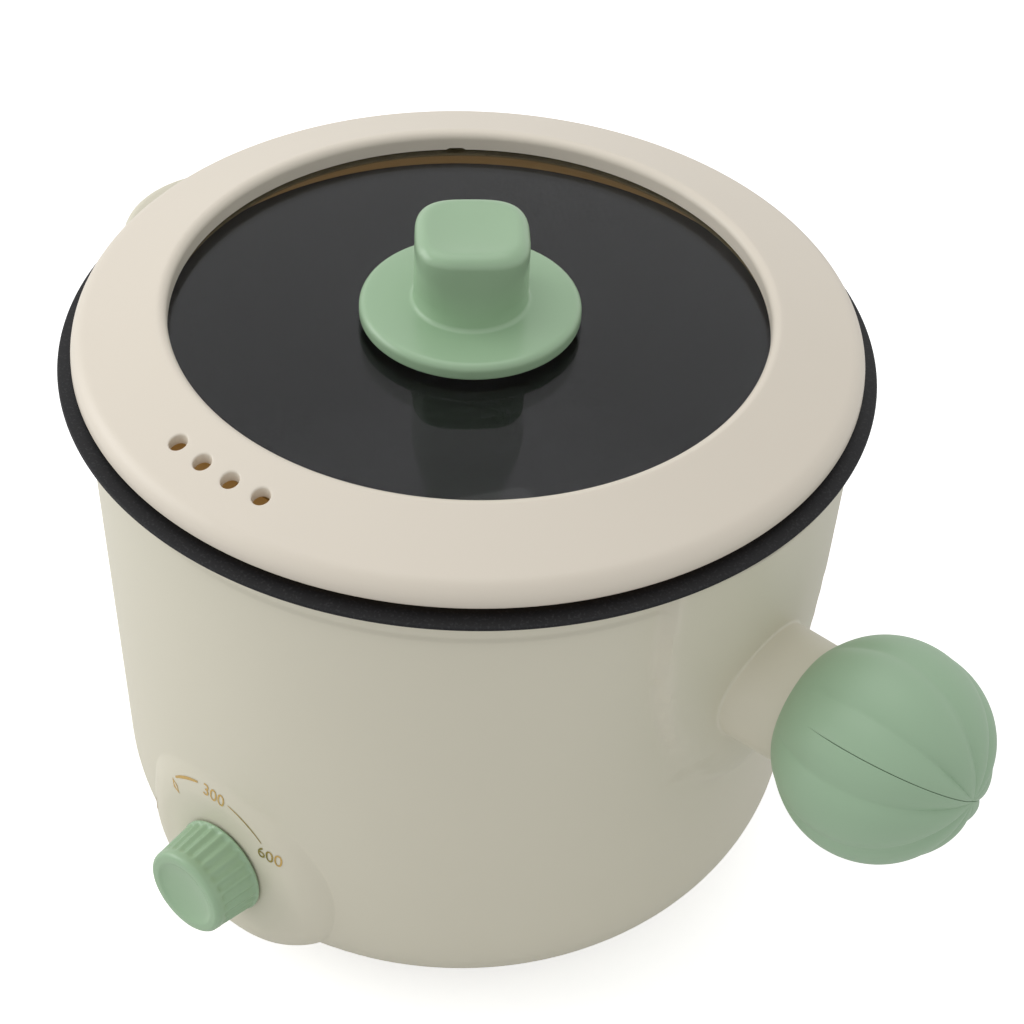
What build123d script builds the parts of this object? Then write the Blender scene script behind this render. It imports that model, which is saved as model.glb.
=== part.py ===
from build123d import *
from math import cos, hypot, radians, sin, sqrt
import os

os.makedirs("parts", exist_ok=True)

# Electric hot pot with a lift-off lid: a non-stick pot in a moulded casing, heated by
# a cast plate, with a ball handle on a short neck and a fluted power dial.
# Millimetres. The origin is on the pot's axis at table level, +Z is up, the ball
# handle points along +X, the dial faces -Y and the power inlet faces +Y.

# ---- clearances and fits -------------------------------------------------------------
fit_gap = 0.3            # between moulded parts that drop into each other
thread_play = 0.05       # between a screw's shank and its hole
shaft_play = 0.08        # radial running clearance of the dial's shaft
press_play = 0.02        # between the dial's hub and the shaft it is pushed on to
cut_margin = 0.01        # how far a cut reaches past the face that it starts from

# ---- casing --------------------------------------------------------------------------
foot_proud = 2.3         # rubber feet below the casing
casing_top_z = 149.5
casing_top_r = 93.65     # outside, where the wall's line meets the top
wall_slope = 0.049       # the wall leans in by this much per millimetre going down
casing_wall = 2.6
corner_r = 35.9          # outside radius between wall and bottom
collar_height = 7.0      # the slightly set-back band below the pot's rim
collar_step = 0.5
base_hole_r = casing_top_r - 47.65   # hole in the casing's bottom
cover_ledge = 4.0        # width of the ledge that the base cover's edge lies against

# ---- ball handle ---------------------------------------------------------------------
handle_z = 103.1
ball_reach = casing_top_r + 36.75    # from the pot's axis to the ball's centre
ball_r = 27.2            # across the handle's axis
ball_flat = 2.2          # its section is an arc whose centre is this far off the axis
ball_wall = 2.8
lobe_count = 9
lobe_groove = 1.0        # depth of the creases between the lobes
lobe_half_width = 5.5    # half the width of a crease at the surface
seam_tilt = 38.5         # the ball's parting plane, turned about the handle's axis
neck_root_r = 16.0
neck_tip_r = 15.7
neck_wall = 3.0
neck_blend_r = 1.5
neck_insert = 2.4        # how far the neck's end stands inside the ball
pad_proud = 3.8          # raised field of the casing under the neck
pad_half_width = 32.5
pad_edge_round = 2.0
pad_curve_z = 133.0      # the field's lower end is half an ellipse from here down
pad_curve_depth = 62.0
core_r = 8.0             # spool that holds the two halves of the ball
collar_r = 12.5
core_collar_width = 3.0
core_length = 14.0
rib_width = 2.4
lobe_pole_depth = 0.25   # the creases are shallower where they meet at the ball's pole
peg_offset = 12.0        # the halves close on two pegs, each side of the handle's axis
peg_reach = 6.0          # pegs beyond the ball's centre
peg_boss_r = 3.2
peg_r = 1.6
peg_length = 5.0

# ---- helper ear, opposite the handle -------------------------------------------------
ear_centre = casing_top_r - 10.65    # from the pot's axis to the centre of the ear's round end
ear_r = 27.0
ear_thickness = 6.5
ear_round = 2.6
ear_drop = 0.4           # top of the ear below the casing's top

# ---- dial and switch -----------------------------------------------------------------
dial_z = 40.2
boss_reach = casing_top_r - 4.25     # from the pot's axis to the flat face of the dial's boss
boss_r = 31.4
boss_round = 12.0
dial_gap = 1.2           # running gap between dial and boss
dial_length = 13.1
dial_base_r = 13.1
dial_face_r = 11.7
dial_edge_round = 1.2
dial_wall = 2.2
flute_count = 26
flute_r = 0.95
flute_depth = 0.55
flute_share = 0.70       # share of the dial's length that is fluted
dish_r = 8.6
dish_depth = 1.3
hub_r = 5.2
shaft_r = 3.0
shaft_flat = 0.6         # depth of the flat on the shaft's end
shaft_front = 11.2       # shaft's end beyond the boss face
bush_r = 4.5
bush_front = 3.2
nut_height = 2.2
nut_flats = 12.0
switch_width = 28.0
switch_height = 24.0
switch_depth = 16.0
switch_corner_r = 2.0
tab_width = 4.8
tab_thickness = 0.8
tab_length = 6.5
tab_pitch = 8.0

# ---- power inlet ---------------------------------------------------------------------
inlet_z = 41.0
inlet_reach = casing_top_r - 4.45    # from the pot's axis to the flat face of the inlet's field
inlet_field_width = 40.0
inlet_field_height = 32.0
inlet_field_corner = 5.0
inlet_flange_width = 32.0
inlet_flange_height = 25.0
inlet_flange_thickness = 2.0
inlet_body_width = 27.2
inlet_body_height = 19.4
inlet_depth = 17.0
socket_width = 24.2
socket_height = 16.4
socket_depth = 14.5
inlet_pin_pitch = 7.0
inlet_pin_width = 2.0
inlet_pin_height = 4.0
inlet_pin_front = 3.0    # pins stay this far back from the socket's mouth
inlet_tail = 6.0
earth_drop = 2.5         # the middle pin sits this much lower
socket_chamfer = 4.0

# ---- pot -----------------------------------------------------------------------------
pot_wall = 2.0
pot_floor_z = 60.0       # underside of the pot's floor
pot_mouth_r = casing_top_r - 7.65
pot_slope = 0.05
pot_corner_r = 24.0
mouth_round = 3.0
rim_r = casing_top_r + 6.75          # outside of the rolled rim
bead_r = 1.8
bead_z = 153.5
flange_z = 151.2         # underside of the pot's flange
gasket_width = 3.45

# ---- heater --------------------------------------------------------------------------
plate_r = casing_top_r - 33.65
plate_thickness = 10.0
plate_chamfer = 1.5
element_ring_r = plate_r - 15.0
element_r = 3.4
element_gap_deg = 26.0   # opening of the element's ring, towards the inlet
element_tail = 11.0
tie_ring_r = 24.0        # circle of the three long screws
tie_boss_r = 5.0
tie_boss_drop = 6.0
shield_r = plate_r + 2.0
shield_thickness = 0.8
shield_rim = 5.0
thermostat_r = 8.2
thermostat_height = 6.0
thermostat_strap = 27.0
strap_width = 7.0
strap_thickness = 0.8
strap_hole_pitch = 21.6
fuse_r = 2.0
fuse_length = 12.0
fuse_y = 14.0
fuse_clip_wall = 0.5

# ---- base ----------------------------------------------------------------------------
cover_plate = 1.5        # thickness of the cover's edge
cover_floor = 3.5
foot_ring_r = base_hole_r - 7.5
foot_r = 6.0
foot_recess = 1.0
vent_width = 3.0
vent_length = 13.0
tie_screw_r = 2.0
tie_head_r = 3.8
tie_head_height = 2.6
tie_seat_z = 11.0        # where the long screws' heads sit in the cover's columns
tie_thread = 9.0         # thread engaged in the heating plate

# ---- lid -----------------------------------------------------------------------------
lid_r = rim_r - 4.1
lid_edge_z = 154.95      # lower edge of the lid's outer ring
lid_shoulder_z = 160.2   # where the ring's cone would meet its outer wall
lid_shoulder_r = 5.0
lid_lip_r = lid_r - 23.45
lid_lip_z = 168.3        # where the ring's cone would meet the opening
lip_round = 2.0
lid_wall = 2.75
lip_nose = 1.4
nose_z = 162.5
glass_top_z = 162.3
glass_thickness = 4.0
glass_r = lid_lip_r + 5.15
glass_hole_r = 2.6
seal_wall = 0.7
keeper_inner_r = lid_lip_r + 2.65
keeper_plate = 1.7
keeper_foot_width = 2.8
rib_outer_r = pot_mouth_r - 1.0
rib_thickness = 2.0
rib_depth = 8.0
lid_seat_gap = 0.3       # lid's foot above the pot's flange
vent_ring_r = lid_r - 12.0
vent_hole_r = 2.2
vent_pitch_deg = 6.13
vent_centre_deg = -91.6
vent_count = 4
keeper_vent_ring_r = lid_r - 15.4
keeper_vent_r = 1.8
lid_screw_ring_r = lid_r - 8.7
lid_screw_count = 6
lid_screw_start = 0.0
lid_boss_r = 2.7
lid_screw_r = 1.2
lid_screw_head_r = 2.2
lid_screw_head = 1.3
lid_screw_length = 5.6

# ---- lid knob ------------------------------------------------------------------------
knob_flange_r = 26.9
knob_gap = 1.5           # gasket between glass and knob
knob_edge = 4.1
knob_edge_round = 1.9
knob_foot_round = 0.8
knob_crown = 0.5         # the flange's rise from its edge to the stem
stem_r = 13.9
stem_width = 27.4        # across the flats at the top
stem_corner_r = 9.0
stem_round = 3.0
knob_height = 25.0       # from the flange's underside to the top
knob_dish = 0.7
knob_turn = 43.0         # how far the squared top is turned about the lid's axis
knob_wall = 3.2
knob_boss_r = 4.5
knob_screw_r = 2.0
knob_screw_head_r = 3.8
knob_screw_head = 2.2
knob_thread = 11.0
washer_r = 7.5
washer_thickness = 1.0
gasket_r = 23.0

# ---- small screws and wires ----------------------------------------------------------
small_screw_r = 1.4
small_head_r = 2.6
small_head = 1.6
core_bolt_r = 2.5
core_bolt_head_r = 4.4
core_bolt_head = 3.0
core_bolt_length = 14.0
wire_r = 1.1
wire_bend_r = 4.0
wire_floor_z = 20.0

# ---- worked-out places ---------------------------------------------------------------
base_z = foot_proud


def wall_radius(z):
    return casing_top_r - wall_slope * (casing_top_z - z)


collar_z = casing_top_z - collar_height
cover_top_z = base_z + cover_floor
plate_z = pot_floor_z - plate_thickness
shield_z = plate_z - tie_boss_drop - shield_thickness
glass_z = glass_top_z - glass_thickness
keeper_top_z = glass_z - seal_wall
keeper_z = keeper_top_z - keeper_plate
seat_z = flange_z + pot_wall
knob_z = glass_top_z + knob_gap
ball_arc_r = ball_r - ball_flat
ball_inner_arc_r = ball_arc_r - ball_wall
neck_end = ball_reach - sqrt(ball_arc_r**2 - (neck_tip_r - ball_flat) ** 2) + neck_insert
tie_points = [(tie_ring_r * cos(radians(a)), tie_ring_r * sin(radians(a))) for a in (90, 210, 330)]
foot_points = [(foot_ring_r * cos(radians(a)), foot_ring_r * sin(radians(a))) for a in (45, 135, 225, 315)]
foot_points.append((0, 0))

# Each frame's own z axis is the axis of what is built on it.
pot_frame = Plane(origin=(0, 0, 0), x_dir=(-1, -1, 0), z_dir=(0, 0, 1))
dial_frame = Plane(origin=(0, -boss_reach, dial_z), x_dir=(1, 0, 0), z_dir=(0, -1, 0))
inlet_frame = Plane(origin=(0, inlet_reach, inlet_z), x_dir=(-1, 0, 0), z_dir=(0, 1, 0))
handle_frame = Plane(origin=(0, 0, handle_z), x_dir=(0, 1, 0), z_dir=(1, 0, 0))
ball_frame = Plane(origin=(ball_reach, 0, handle_z), x_dir=(0, 1, 0), z_dir=(1, 0, 0))
seam_normal = (0, sin(radians(seam_tilt)), cos(radians(seam_tilt)))
seam_plane = Plane(origin=(ball_reach, 0, handle_z), x_dir=(1, 0, 0), z_dir=seam_normal)


# ---- drawing helpers -----------------------------------------------------------------
def axis_of(frame):
    return Axis(frame.origin, frame.z_dir)


def section(frame, points, rounds=()):
    """A closed outline in the half-plane (radius, height) of a frame.

    rounds lists ((radius, height), fillet radius) for the corners that are rounded.
    """
    half_plane = Plane(origin=frame.origin, x_dir=frame.x_dir, z_dir=-frame.y_dir)
    with BuildSketch(half_plane) as outline:
        with BuildLine():
            Polyline(*points, close=True)
        make_face()
        for corner, size in rounds:
            fillet(outline.vertices().sort_by_distance(corner)[0], size)
    return outline.sketch


def screw_section(frame, head_r, head_height, shank_r, length):
    """A pan-head screw: its head's seat is the frame's plane, its shank goes up +z."""
    points = [
        (0, -head_height),
        (head_r * 0.75, -head_height),
        (head_r, -head_height * 0.55),
        (head_r, 0),
        (shank_r, 0),
        (shank_r, length - shank_r),
        (shank_r * 0.4, length),
        (0, length),
    ]
    return section(frame, points)


def cross_recess(frame, head_r, head_height):
    """The cross slot in a screw's head, as a solid to take away."""
    with BuildPart(frame.offset(-head_height), mode=Mode.PRIVATE) as slot:
        for turn in (0, 90):
            Box(head_r * 1.1, head_r * 0.28, head_height, rotation=(0, 0, turn))
    return slot.part


def screws(frames, head_r, head_height, shank_r, length):
    """One screw for each frame, as separate solids of one node."""
    with BuildPart() as group:
        for frame in frames:
            profile = screw_section(frame, head_r, head_height, shank_r, length)
            revolve(profile, axis=axis_of(frame))
        for frame in frames:
            add(cross_recess(frame, head_r, head_height), mode=Mode.SUBTRACT)
    return group.part


def write(piece, name):
    piece.label = name
    export_step(piece, "parts/" + name + ".step")


# ---- outer casing --------------------------------------------------------------------
def casing_outline(inset, floor_z):
    """The casing's body, drawn inset from its outside by a wall."""
    corner = (wall_radius(floor_z) - inset, floor_z)
    points = [
        (0, floor_z),
        corner,
        (wall_radius(casing_top_z) - inset, casing_top_z),
        (0, casing_top_z),
    ]
    return section(pot_frame, points, [(corner, corner_r - inset)])


def at_neck_root(edge):
    """Whether an edge runs round the neck where it leaves the casing."""
    middle = edge.position_at(0.5)
    off_axis = hypot(middle.Y, middle.Z - handle_z)
    beside_wall = plate_r < middle.X < wall_radius(handle_z) + 3 * pad_proud
    round_neck = neck_tip_r < off_axis < neck_root_r + pad_proud
    return beside_wall and round_neck and edge.geom_type != GeomType.LINE


def at_field_edge(edge):
    """Whether an edge lies where the raised field's face meets its sides."""
    middle = edge.position_at(0.5)
    on_face = hypot(middle.X, middle.Y) > wall_radius(middle.Z) + pad_proud / 2
    return on_face and middle.Z < casing_top_z - pad_edge_round


# Raised field under the handle: the wall moved out, cut to a shield-shaped outline.
with BuildPart() as handle_field:
    revolve(casing_outline(-pad_proud, base_z), axis=Axis.Z)
    with BuildSketch(Plane.YZ) as field_outline:
        with Locations((0, pad_curve_z)):
            Ellipse(pad_half_width, pad_curve_depth)
        with Locations((0, pad_curve_z)):
            Rectangle(2 * pad_half_width, casing_top_z - pad_curve_z, align=(Align.CENTER, Align.MIN))
        with Locations((0, casing_top_z)):
            Rectangle(
                4 * pad_half_width,
                2 * pad_curve_depth,
                align=(Align.CENTER, Align.MIN),
                mode=Mode.SUBTRACT,
            )
    extrude(amount=casing_top_r + 2 * pad_proud, mode=Mode.INTERSECT)
    fillet(handle_field.edges().filter_by(at_field_edge), pad_edge_round)

# Round drum of the dial: a flat face with a large soft edge, run back into the casing.
with BuildPart() as dial_drum:
    with BuildSketch(dial_frame):
        Circle(boss_r)
    extrude(amount=-(boss_reach - plate_r))
    fillet(dial_drum.edges().group_by(Axis.Y)[0], boss_round)
with BuildPart() as drum_hollow:
    with BuildSketch(dial_frame.offset(-casing_wall)):
        Circle(boss_r - casing_wall)
    extrude(amount=-(boss_reach - plate_r - casing_wall))
    fillet(drum_hollow.edges().group_by(Axis.Y)[0], boss_round - casing_wall)

# Flat field of the power inlet.
with BuildPart() as inlet_field:
    with BuildSketch(inlet_frame):
        RectangleRounded(inlet_field_width, inlet_field_height, inlet_field_corner)
    extrude(amount=-(inlet_reach - plate_r))

# Helper ear: a flat tongue with a round end, just under the pot's rim.
ear_top_z = casing_top_z - ear_drop
with BuildPart() as ear:
    with BuildSketch(Plane.XY.offset(ear_top_z - ear_thickness)):
        with Locations((-ear_centre, 0)):
            Circle(ear_r)
    extrude(amount=ear_thickness)
    fillet(ear.edges().filter_by(GeomType.CIRCLE), ear_round)

neck_start = wall_radius(handle_z) - casing_wall
with BuildPart() as outer_casing:
    revolve(casing_outline(0, base_z), axis=Axis.Z)
    add(handle_field.part)
    add(ear.part)
    add(inlet_field.part)
    add(dial_drum.part)
    neck = [(0, neck_start), (neck_root_r, neck_start), (neck_tip_r, neck_end), (0, neck_end)]
    revolve(section(handle_frame, neck), axis=axis_of(handle_frame))
    fillet(outer_casing.edges().filter_by(at_neck_root), neck_blend_r)
    # Set-back band below the rim.
    band = [
        (wall_radius(collar_z) + cut_margin, collar_z),
        (wall_radius(collar_z) - collar_step, collar_z + collar_step),
        (casing_top_r - collar_step, casing_top_z),
        (casing_top_r + cut_margin, casing_top_z),
    ]
    band_cut = revolve(section(pot_frame, band), axis=Axis.Z, mode=Mode.PRIVATE)
    ear_guard = Box(2 * ear_r, 2 * ear_r, 3 * ear_thickness, mode=Mode.PRIVATE)
    pad_guard = Box(2 * ear_r, 2 * pad_half_width, 2 * collar_height, mode=Mode.PRIVATE)
    band_cut = band_cut - Pos(-ear_centre - ear_r / 2, 0, ear_top_z) * ear_guard
    band_cut = band_cut - Pos(casing_top_r, 0, casing_top_z) * pad_guard
    add(band_cut, mode=Mode.SUBTRACT)
    # The hollow: the casing's inside, the drum, the neck and the openings.
    revolve(casing_outline(casing_wall, base_z + cover_floor), axis=Axis.Z, mode=Mode.SUBTRACT)
    add(drum_hollow.part, mode=Mode.SUBTRACT)
    with BuildSketch(dial_frame):
        Circle(bush_r + fit_gap)
    extrude(amount=-casing_wall, mode=Mode.SUBTRACT)
    with BuildSketch(inlet_frame.offset(-casing_wall)):
        RectangleRounded(
            inlet_field_width - 2 * casing_wall,
            inlet_field_height - 2 * casing_wall,
            inlet_field_corner - casing_wall / 2,
        )
    extrude(amount=-(inlet_reach - plate_r - casing_wall), mode=Mode.SUBTRACT)
    with BuildSketch(inlet_frame):
        Rectangle(inlet_body_width + 2 * fit_gap, inlet_body_height + 2 * fit_gap)
    extrude(amount=-casing_wall, mode=Mode.SUBTRACT)
    with BuildSketch(handle_frame.offset(plate_r)):
        Circle(neck_tip_r - neck_wall)
    extrude(amount=neck_end - neck_wall - plate_r, mode=Mode.SUBTRACT)
    with BuildSketch(handle_frame.offset(neck_end - neck_wall)):
        Circle(core_bolt_r + fit_gap)
    extrude(amount=neck_wall, mode=Mode.SUBTRACT)
    with BuildSketch(Plane.XY.offset(base_z)):
        Circle(base_hole_r)
    extrude(amount=cover_floor, mode=Mode.SUBTRACT)
    with BuildSketch(Plane.XY.offset(base_z)):
        Circle(base_hole_r + cover_ledge)
    extrude(amount=cover_plate, mode=Mode.SUBTRACT)
write(outer_casing.part, "outer_casing")

# ---- base cover, feet and the long screws --------------------------------------------
with BuildPart() as base_cover:
    with BuildSketch(Plane.XY.offset(base_z)):
        Circle(base_hole_r + cover_ledge - fit_gap)
    extrude(amount=cover_plate)
    with BuildSketch(Plane.XY.offset(base_z)):
        Circle(base_hole_r - fit_gap)
    extrude(amount=cover_floor)
    with BuildSketch(Plane.XY.offset(base_z)):
        with Locations(*tie_points):
            Circle(tie_boss_r)
    extrude(amount=shield_z - base_z)
    with BuildSketch(Plane.XY.offset(base_z)):
        with Locations(*foot_points):
            Circle(foot_r + fit_gap)
    extrude(amount=foot_recess, mode=Mode.SUBTRACT)
    with BuildSketch(Plane.XY.offset(base_z)):
        with Locations(*tie_points):
            Circle(tie_head_r + fit_gap / 2)
    extrude(amount=tie_seat_z - base_z, mode=Mode.SUBTRACT)
    with BuildSketch(Plane.XY.offset(tie_seat_z)):
        with Locations(*tie_points):
            Circle(tie_screw_r + fit_gap)
    extrude(amount=shield_z - tie_seat_z, mode=Mode.SUBTRACT)
    with BuildSketch(Plane.XY.offset(base_z)):
        for ring_r in (tie_ring_r - vent_width, tie_ring_r + 2 * vent_width):
            with PolarLocations(ring_r, 3, start_angle=30):
                SlotOverall(vent_length, vent_width, rotation=90)
    extrude(amount=cover_floor, mode=Mode.SUBTRACT)
write(base_cover.part, "base_cover")

with BuildPart() as rubber_feet:
    with BuildSketch(Plane.XY):
        with Locations(*foot_points):
            Circle(foot_r)
    extrude(amount=base_z + foot_recess)
    fillet(rubber_feet.edges().group_by(Axis.Z)[0], base_z * 0.3)
write(rubber_feet.part, "rubber_feet")

tie_frames = [Plane(origin=(x, y, tie_seat_z), z_dir=(0, 0, 1)) for x, y in tie_points]
tie_length = plate_z - tie_boss_drop + tie_thread - tie_seat_z
write(screws(tie_frames, tie_head_r, tie_head_height, tie_screw_r, tie_length), "base_screws")

# ---- pot and the gasket under its rim ------------------------------------------------
pot_base_r = pot_mouth_r - pot_slope * (seat_z - pot_floor_z)
bead_centre_r = rim_r - bead_r
with BuildPart() as inner_pot:
    sheet = [
        (0, pot_floor_z),
        (pot_base_r + pot_wall, pot_floor_z),
        (pot_mouth_r + pot_wall, flange_z),
        (bead_centre_r, flange_z),
        (bead_centre_r, seat_z),
        (pot_mouth_r, seat_z),
        (pot_base_r, pot_floor_z + pot_wall),
        (0, pot_floor_z + pot_wall),
    ]
    rounds = [
        (sheet[1], pot_corner_r),
        (sheet[6], pot_corner_r - pot_wall),
        (sheet[5], mouth_round),
        (sheet[2], mouth_round - pot_wall),
    ]
    revolve(section(pot_frame, sheet, rounds), axis=Axis.Z)
    with BuildSketch(Plane.XZ):
        with Locations((bead_centre_r, bead_z)):
            Circle(bead_r)
    revolve(axis=Axis.Z)
write(inner_pot.part, "inner_pot")

with BuildPart() as rim_gasket:
    with BuildSketch(Plane.XY.offset(casing_top_z)):
        Circle(casing_top_r - collar_step - fit_gap)
        Circle(casing_top_r - collar_step - fit_gap - gasket_width, mode=Mode.SUBTRACT)
    extrude(amount=flange_z - casing_top_z)
write(rim_gasket.part, "rim_gasket")

# ---- heater --------------------------------------------------------------------------
element_z = plate_z
element_half_gap = radians(element_gap_deg / 2)
element_ends = [
    (side * element_ring_r * sin(element_half_gap), element_ring_r * cos(element_half_gap))
    for side in (-1, 1)
]
strap_holes = [(-strap_hole_pitch / 2, 0), (strap_hole_pitch / 2, 0)]

with BuildPart() as heating_plate:
    with BuildSketch(Plane.XY.offset(plate_z)):
        Circle(plate_r)
    extrude(amount=plate_thickness)
    chamfer(heating_plate.edges().group_by(Axis.Z)[0], plate_chamfer)
    with BuildSketch(Plane.XY.offset(plate_z - tie_boss_drop)):
        with Locations(*tie_points):
            Circle(tie_boss_r)
    extrude(amount=tie_boss_drop)
    with BuildSketch(Plane.XY.offset(plate_z - tie_boss_drop)):
        with Locations(*tie_points):
            Circle(tie_screw_r + thread_play)
    extrude(amount=tie_thread + thread_play, mode=Mode.SUBTRACT)
    with BuildSketch(Plane.XY.offset(plate_z)):
        with Locations(*strap_holes):
            Circle(small_screw_r + thread_play)
    extrude(amount=plate_thickness / 2, mode=Mode.SUBTRACT)
    with BuildSketch(Plane.XZ):
        with Locations((element_ring_r, element_z)):
            Circle(element_r + thread_play)
    revolve(axis=Axis.Z, mode=Mode.SUBTRACT)
write(heating_plate.part, "heating_plate")

with BuildPart() as heating_element:
    with BuildSketch(Plane.XZ.rotated((0, 0, 90 + element_gap_deg / 2))):
        with Locations((element_ring_r, element_z)):
            Circle(element_r)
    revolve(axis=Axis.Z, revolution_arc=360 - element_gap_deg)
    with Locations(*[(x, y, element_z) for x, y in element_ends]):
        Sphere(element_r)
        Cylinder(element_r, element_tail, align=(Align.CENTER, Align.CENTER, Align.MAX))
write(heating_element.part, "heating_element")

with BuildPart() as heat_shield:
    dish = [
        (0, shield_z),
        (shield_r, shield_z),
        (shield_r, shield_z + shield_rim),
        (shield_r - shield_thickness, shield_z + shield_rim),
        (shield_r - shield_thickness, shield_z + shield_thickness),
        (0, shield_z + shield_thickness),
    ]
    dish_rounds = [(dish[1], 1.5 * shield_thickness), (dish[4], 0.5 * shield_thickness)]
    revolve(section(pot_frame, dish, dish_rounds), axis=Axis.Z)
    with BuildSketch(Plane.XY.offset(shield_z)):
        Circle(thermostat_r + 3 * fit_gap)
        with Locations(*tie_points):
            Circle(tie_screw_r + fit_gap)
        with Locations(*element_ends):
            Circle(element_r + 3 * fit_gap)
    extrude(amount=shield_thickness, mode=Mode.SUBTRACT)
write(heat_shield.part, "heat_shield")

with BuildPart() as thermostat:
    with BuildSketch(Plane.XY.offset(plate_z - strap_thickness)):
        SlotOverall(thermostat_strap, strap_width)
        with Locations(*strap_holes):
            Circle(small_screw_r + thread_play, mode=Mode.SUBTRACT)
    extrude(amount=strap_thickness)
    with BuildSketch(Plane.XY.offset(plate_z - thermostat_height)):
        Circle(thermostat_r)
    extrude(amount=thermostat_height)
    fillet(thermostat.edges().group_by(Axis.Z)[0], strap_thickness)
    with BuildSketch(Plane.XY.offset(plate_z - thermostat_height - tab_length)):
        with Locations((-tab_pitch / 2, 0), (tab_pitch / 2, 0)):
            Rectangle(tab_thickness, tab_width)
    extrude(amount=tab_length)
write(thermostat.part, "thermostat")

strap_frames = [
    Plane(origin=(x, y, plate_z - strap_thickness), z_dir=(0, 0, 1)) for x, y in strap_holes
]
strap_screw_length = plate_thickness / 2
thermostat_screws = screws(strap_frames, small_head_r, small_head, small_screw_r, strap_screw_length)
write(thermostat_screws, "thermostat_screws")

with BuildPart() as thermal_fuse:
    fuse_z = plate_z - fuse_clip_wall - fuse_r
    with Locations((0, fuse_y, fuse_z)):
        Cylinder(fuse_r, fuse_length, rotation=(0, 90, 0))
        Cylinder(fuse_r / 4, fuse_length * 1.6, rotation=(0, 90, 0))
write(thermal_fuse.part, "thermal_fuse")

with BuildPart() as fuse_clip:
    clip_r = fuse_r + fuse_clip_wall
    with BuildSketch(Plane.YZ.offset(-fuse_length / 3)):
        with Locations((fuse_y, fuse_z)):
            Circle(clip_r)
            Rectangle(2 * clip_r, clip_r, align=(Align.CENTER, Align.MIN))
            Circle(fuse_r + thread_play, mode=Mode.SUBTRACT)
    extrude(amount=fuse_length * 2 / 3)
write(fuse_clip.part, "fuse_clip")

# ---- rotary switch, its shaft and the dial -------------------------------------------
switch_back = -casing_wall - switch_depth
shaft_back = switch_back + casing_wall
dial_top = dial_gap + dial_length

with BuildPart() as rotary_switch:
    with BuildSketch(dial_frame.offset(-casing_wall)):
        RectangleRounded(switch_width, switch_height, switch_corner_r)
    extrude(amount=-switch_depth)
    with BuildSketch(dial_frame.offset(-casing_wall)):
        Circle(bush_r)
    extrude(amount=bush_front + casing_wall)
    with BuildSketch(dial_frame.offset(bush_front)):
        Circle(shaft_r + shaft_play)
    extrude(amount=shaft_back - bush_front, mode=Mode.SUBTRACT)
write(rotary_switch.part, "rotary_switch")

with BuildPart() as switch_tabs:
    with BuildSketch(dial_frame.offset(switch_back)):
        with GridLocations(tab_pitch, 0, 3, 1):
            Rectangle(tab_thickness, tab_width)
    extrude(amount=-tab_length)
write(switch_tabs.part, "switch_tabs")

with BuildPart() as switch_nut:
    with BuildSketch(dial_frame):
        RegularPolygon(nut_flats / 2, 6, major_radius=False)
        Circle(bush_r + thread_play, mode=Mode.SUBTRACT)
    extrude(amount=nut_height)
write(switch_nut.part, "switch_nut")

hub_back = bush_front + 2 * fit_gap
with BuildPart() as switch_shaft:
    with BuildSketch(dial_frame.offset(shaft_back + fit_gap)):
        Circle(shaft_r)
    extrude(amount=shaft_front - shaft_back - fit_gap)
    with BuildSketch(dial_frame.offset(hub_back)):
        with Locations((0, shaft_r - shaft_flat)):
            Rectangle(2 * shaft_r, shaft_r, align=(Align.CENTER, Align.MIN))
    extrude(amount=shaft_front - hub_back, mode=Mode.SUBTRACT)
write(switch_shaft.part, "switch_shaft")

# One flute, standing beside the dial's axis and leaning with its taper.
dial_taper = (dial_base_r - dial_face_r) / dial_length
flute_run = dial_length * flute_share
flute_axis_r = dial_base_r + flute_r - flute_depth
with BuildPart(Plane(origin=(flute_axis_r, 0, dial_gap), z_dir=(-dial_taper, 0, 1))) as flute:
    Cylinder(flute_r, 2 * flute_run)
    with Locations((0, 0, flute_run)):
        Sphere(flute_r)

dish_sphere_r = (dish_r**2 + dish_depth**2) / (2 * dish_depth)
dial_bore_r = dial_base_r - flute_depth - dial_wall
dial_floor = dial_top - dish_depth - dial_wall
with BuildPart(dial_frame) as dial:
    dial_outline = [
        (0, dial_gap),
        (dial_base_r, dial_gap),
        (dial_face_r, dial_top),
        (0, dial_top),
    ]
    dial_rounds = [((dial_face_r, dial_top), dial_edge_round)]
    revolve(section(dial_frame, dial_outline, dial_rounds), axis=axis_of(dial_frame))
    with PolarLocations(0, flute_count):
        add(flute.part, mode=Mode.SUBTRACT)
    with Locations((0, 0, dial_top - dish_depth + dish_sphere_r)):
        Sphere(dish_sphere_r, mode=Mode.SUBTRACT)
    hollow = [
        (0, dial_gap),
        (dial_bore_r, dial_gap),
        (dial_bore_r - dial_taper * (dial_floor - dial_gap), dial_floor),
        (hub_r, dial_floor),
        (hub_r, hub_back),
        (0, hub_back),
    ]
    revolve(section(dial_frame, hollow), axis=axis_of(dial_frame), mode=Mode.SUBTRACT)
    with BuildSketch(dial_frame.offset(hub_back)):
        Circle(shaft_r + press_play)
        with Locations((0, shaft_r - shaft_flat + press_play)):
            Rectangle(
                2 * hub_r,
                shaft_r,
                align=(Align.CENTER, Align.MIN),
                mode=Mode.SUBTRACT,
            )
    extrude(amount=shaft_front + press_play - hub_back, mode=Mode.SUBTRACT)
write(dial.part, "dial")

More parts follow.
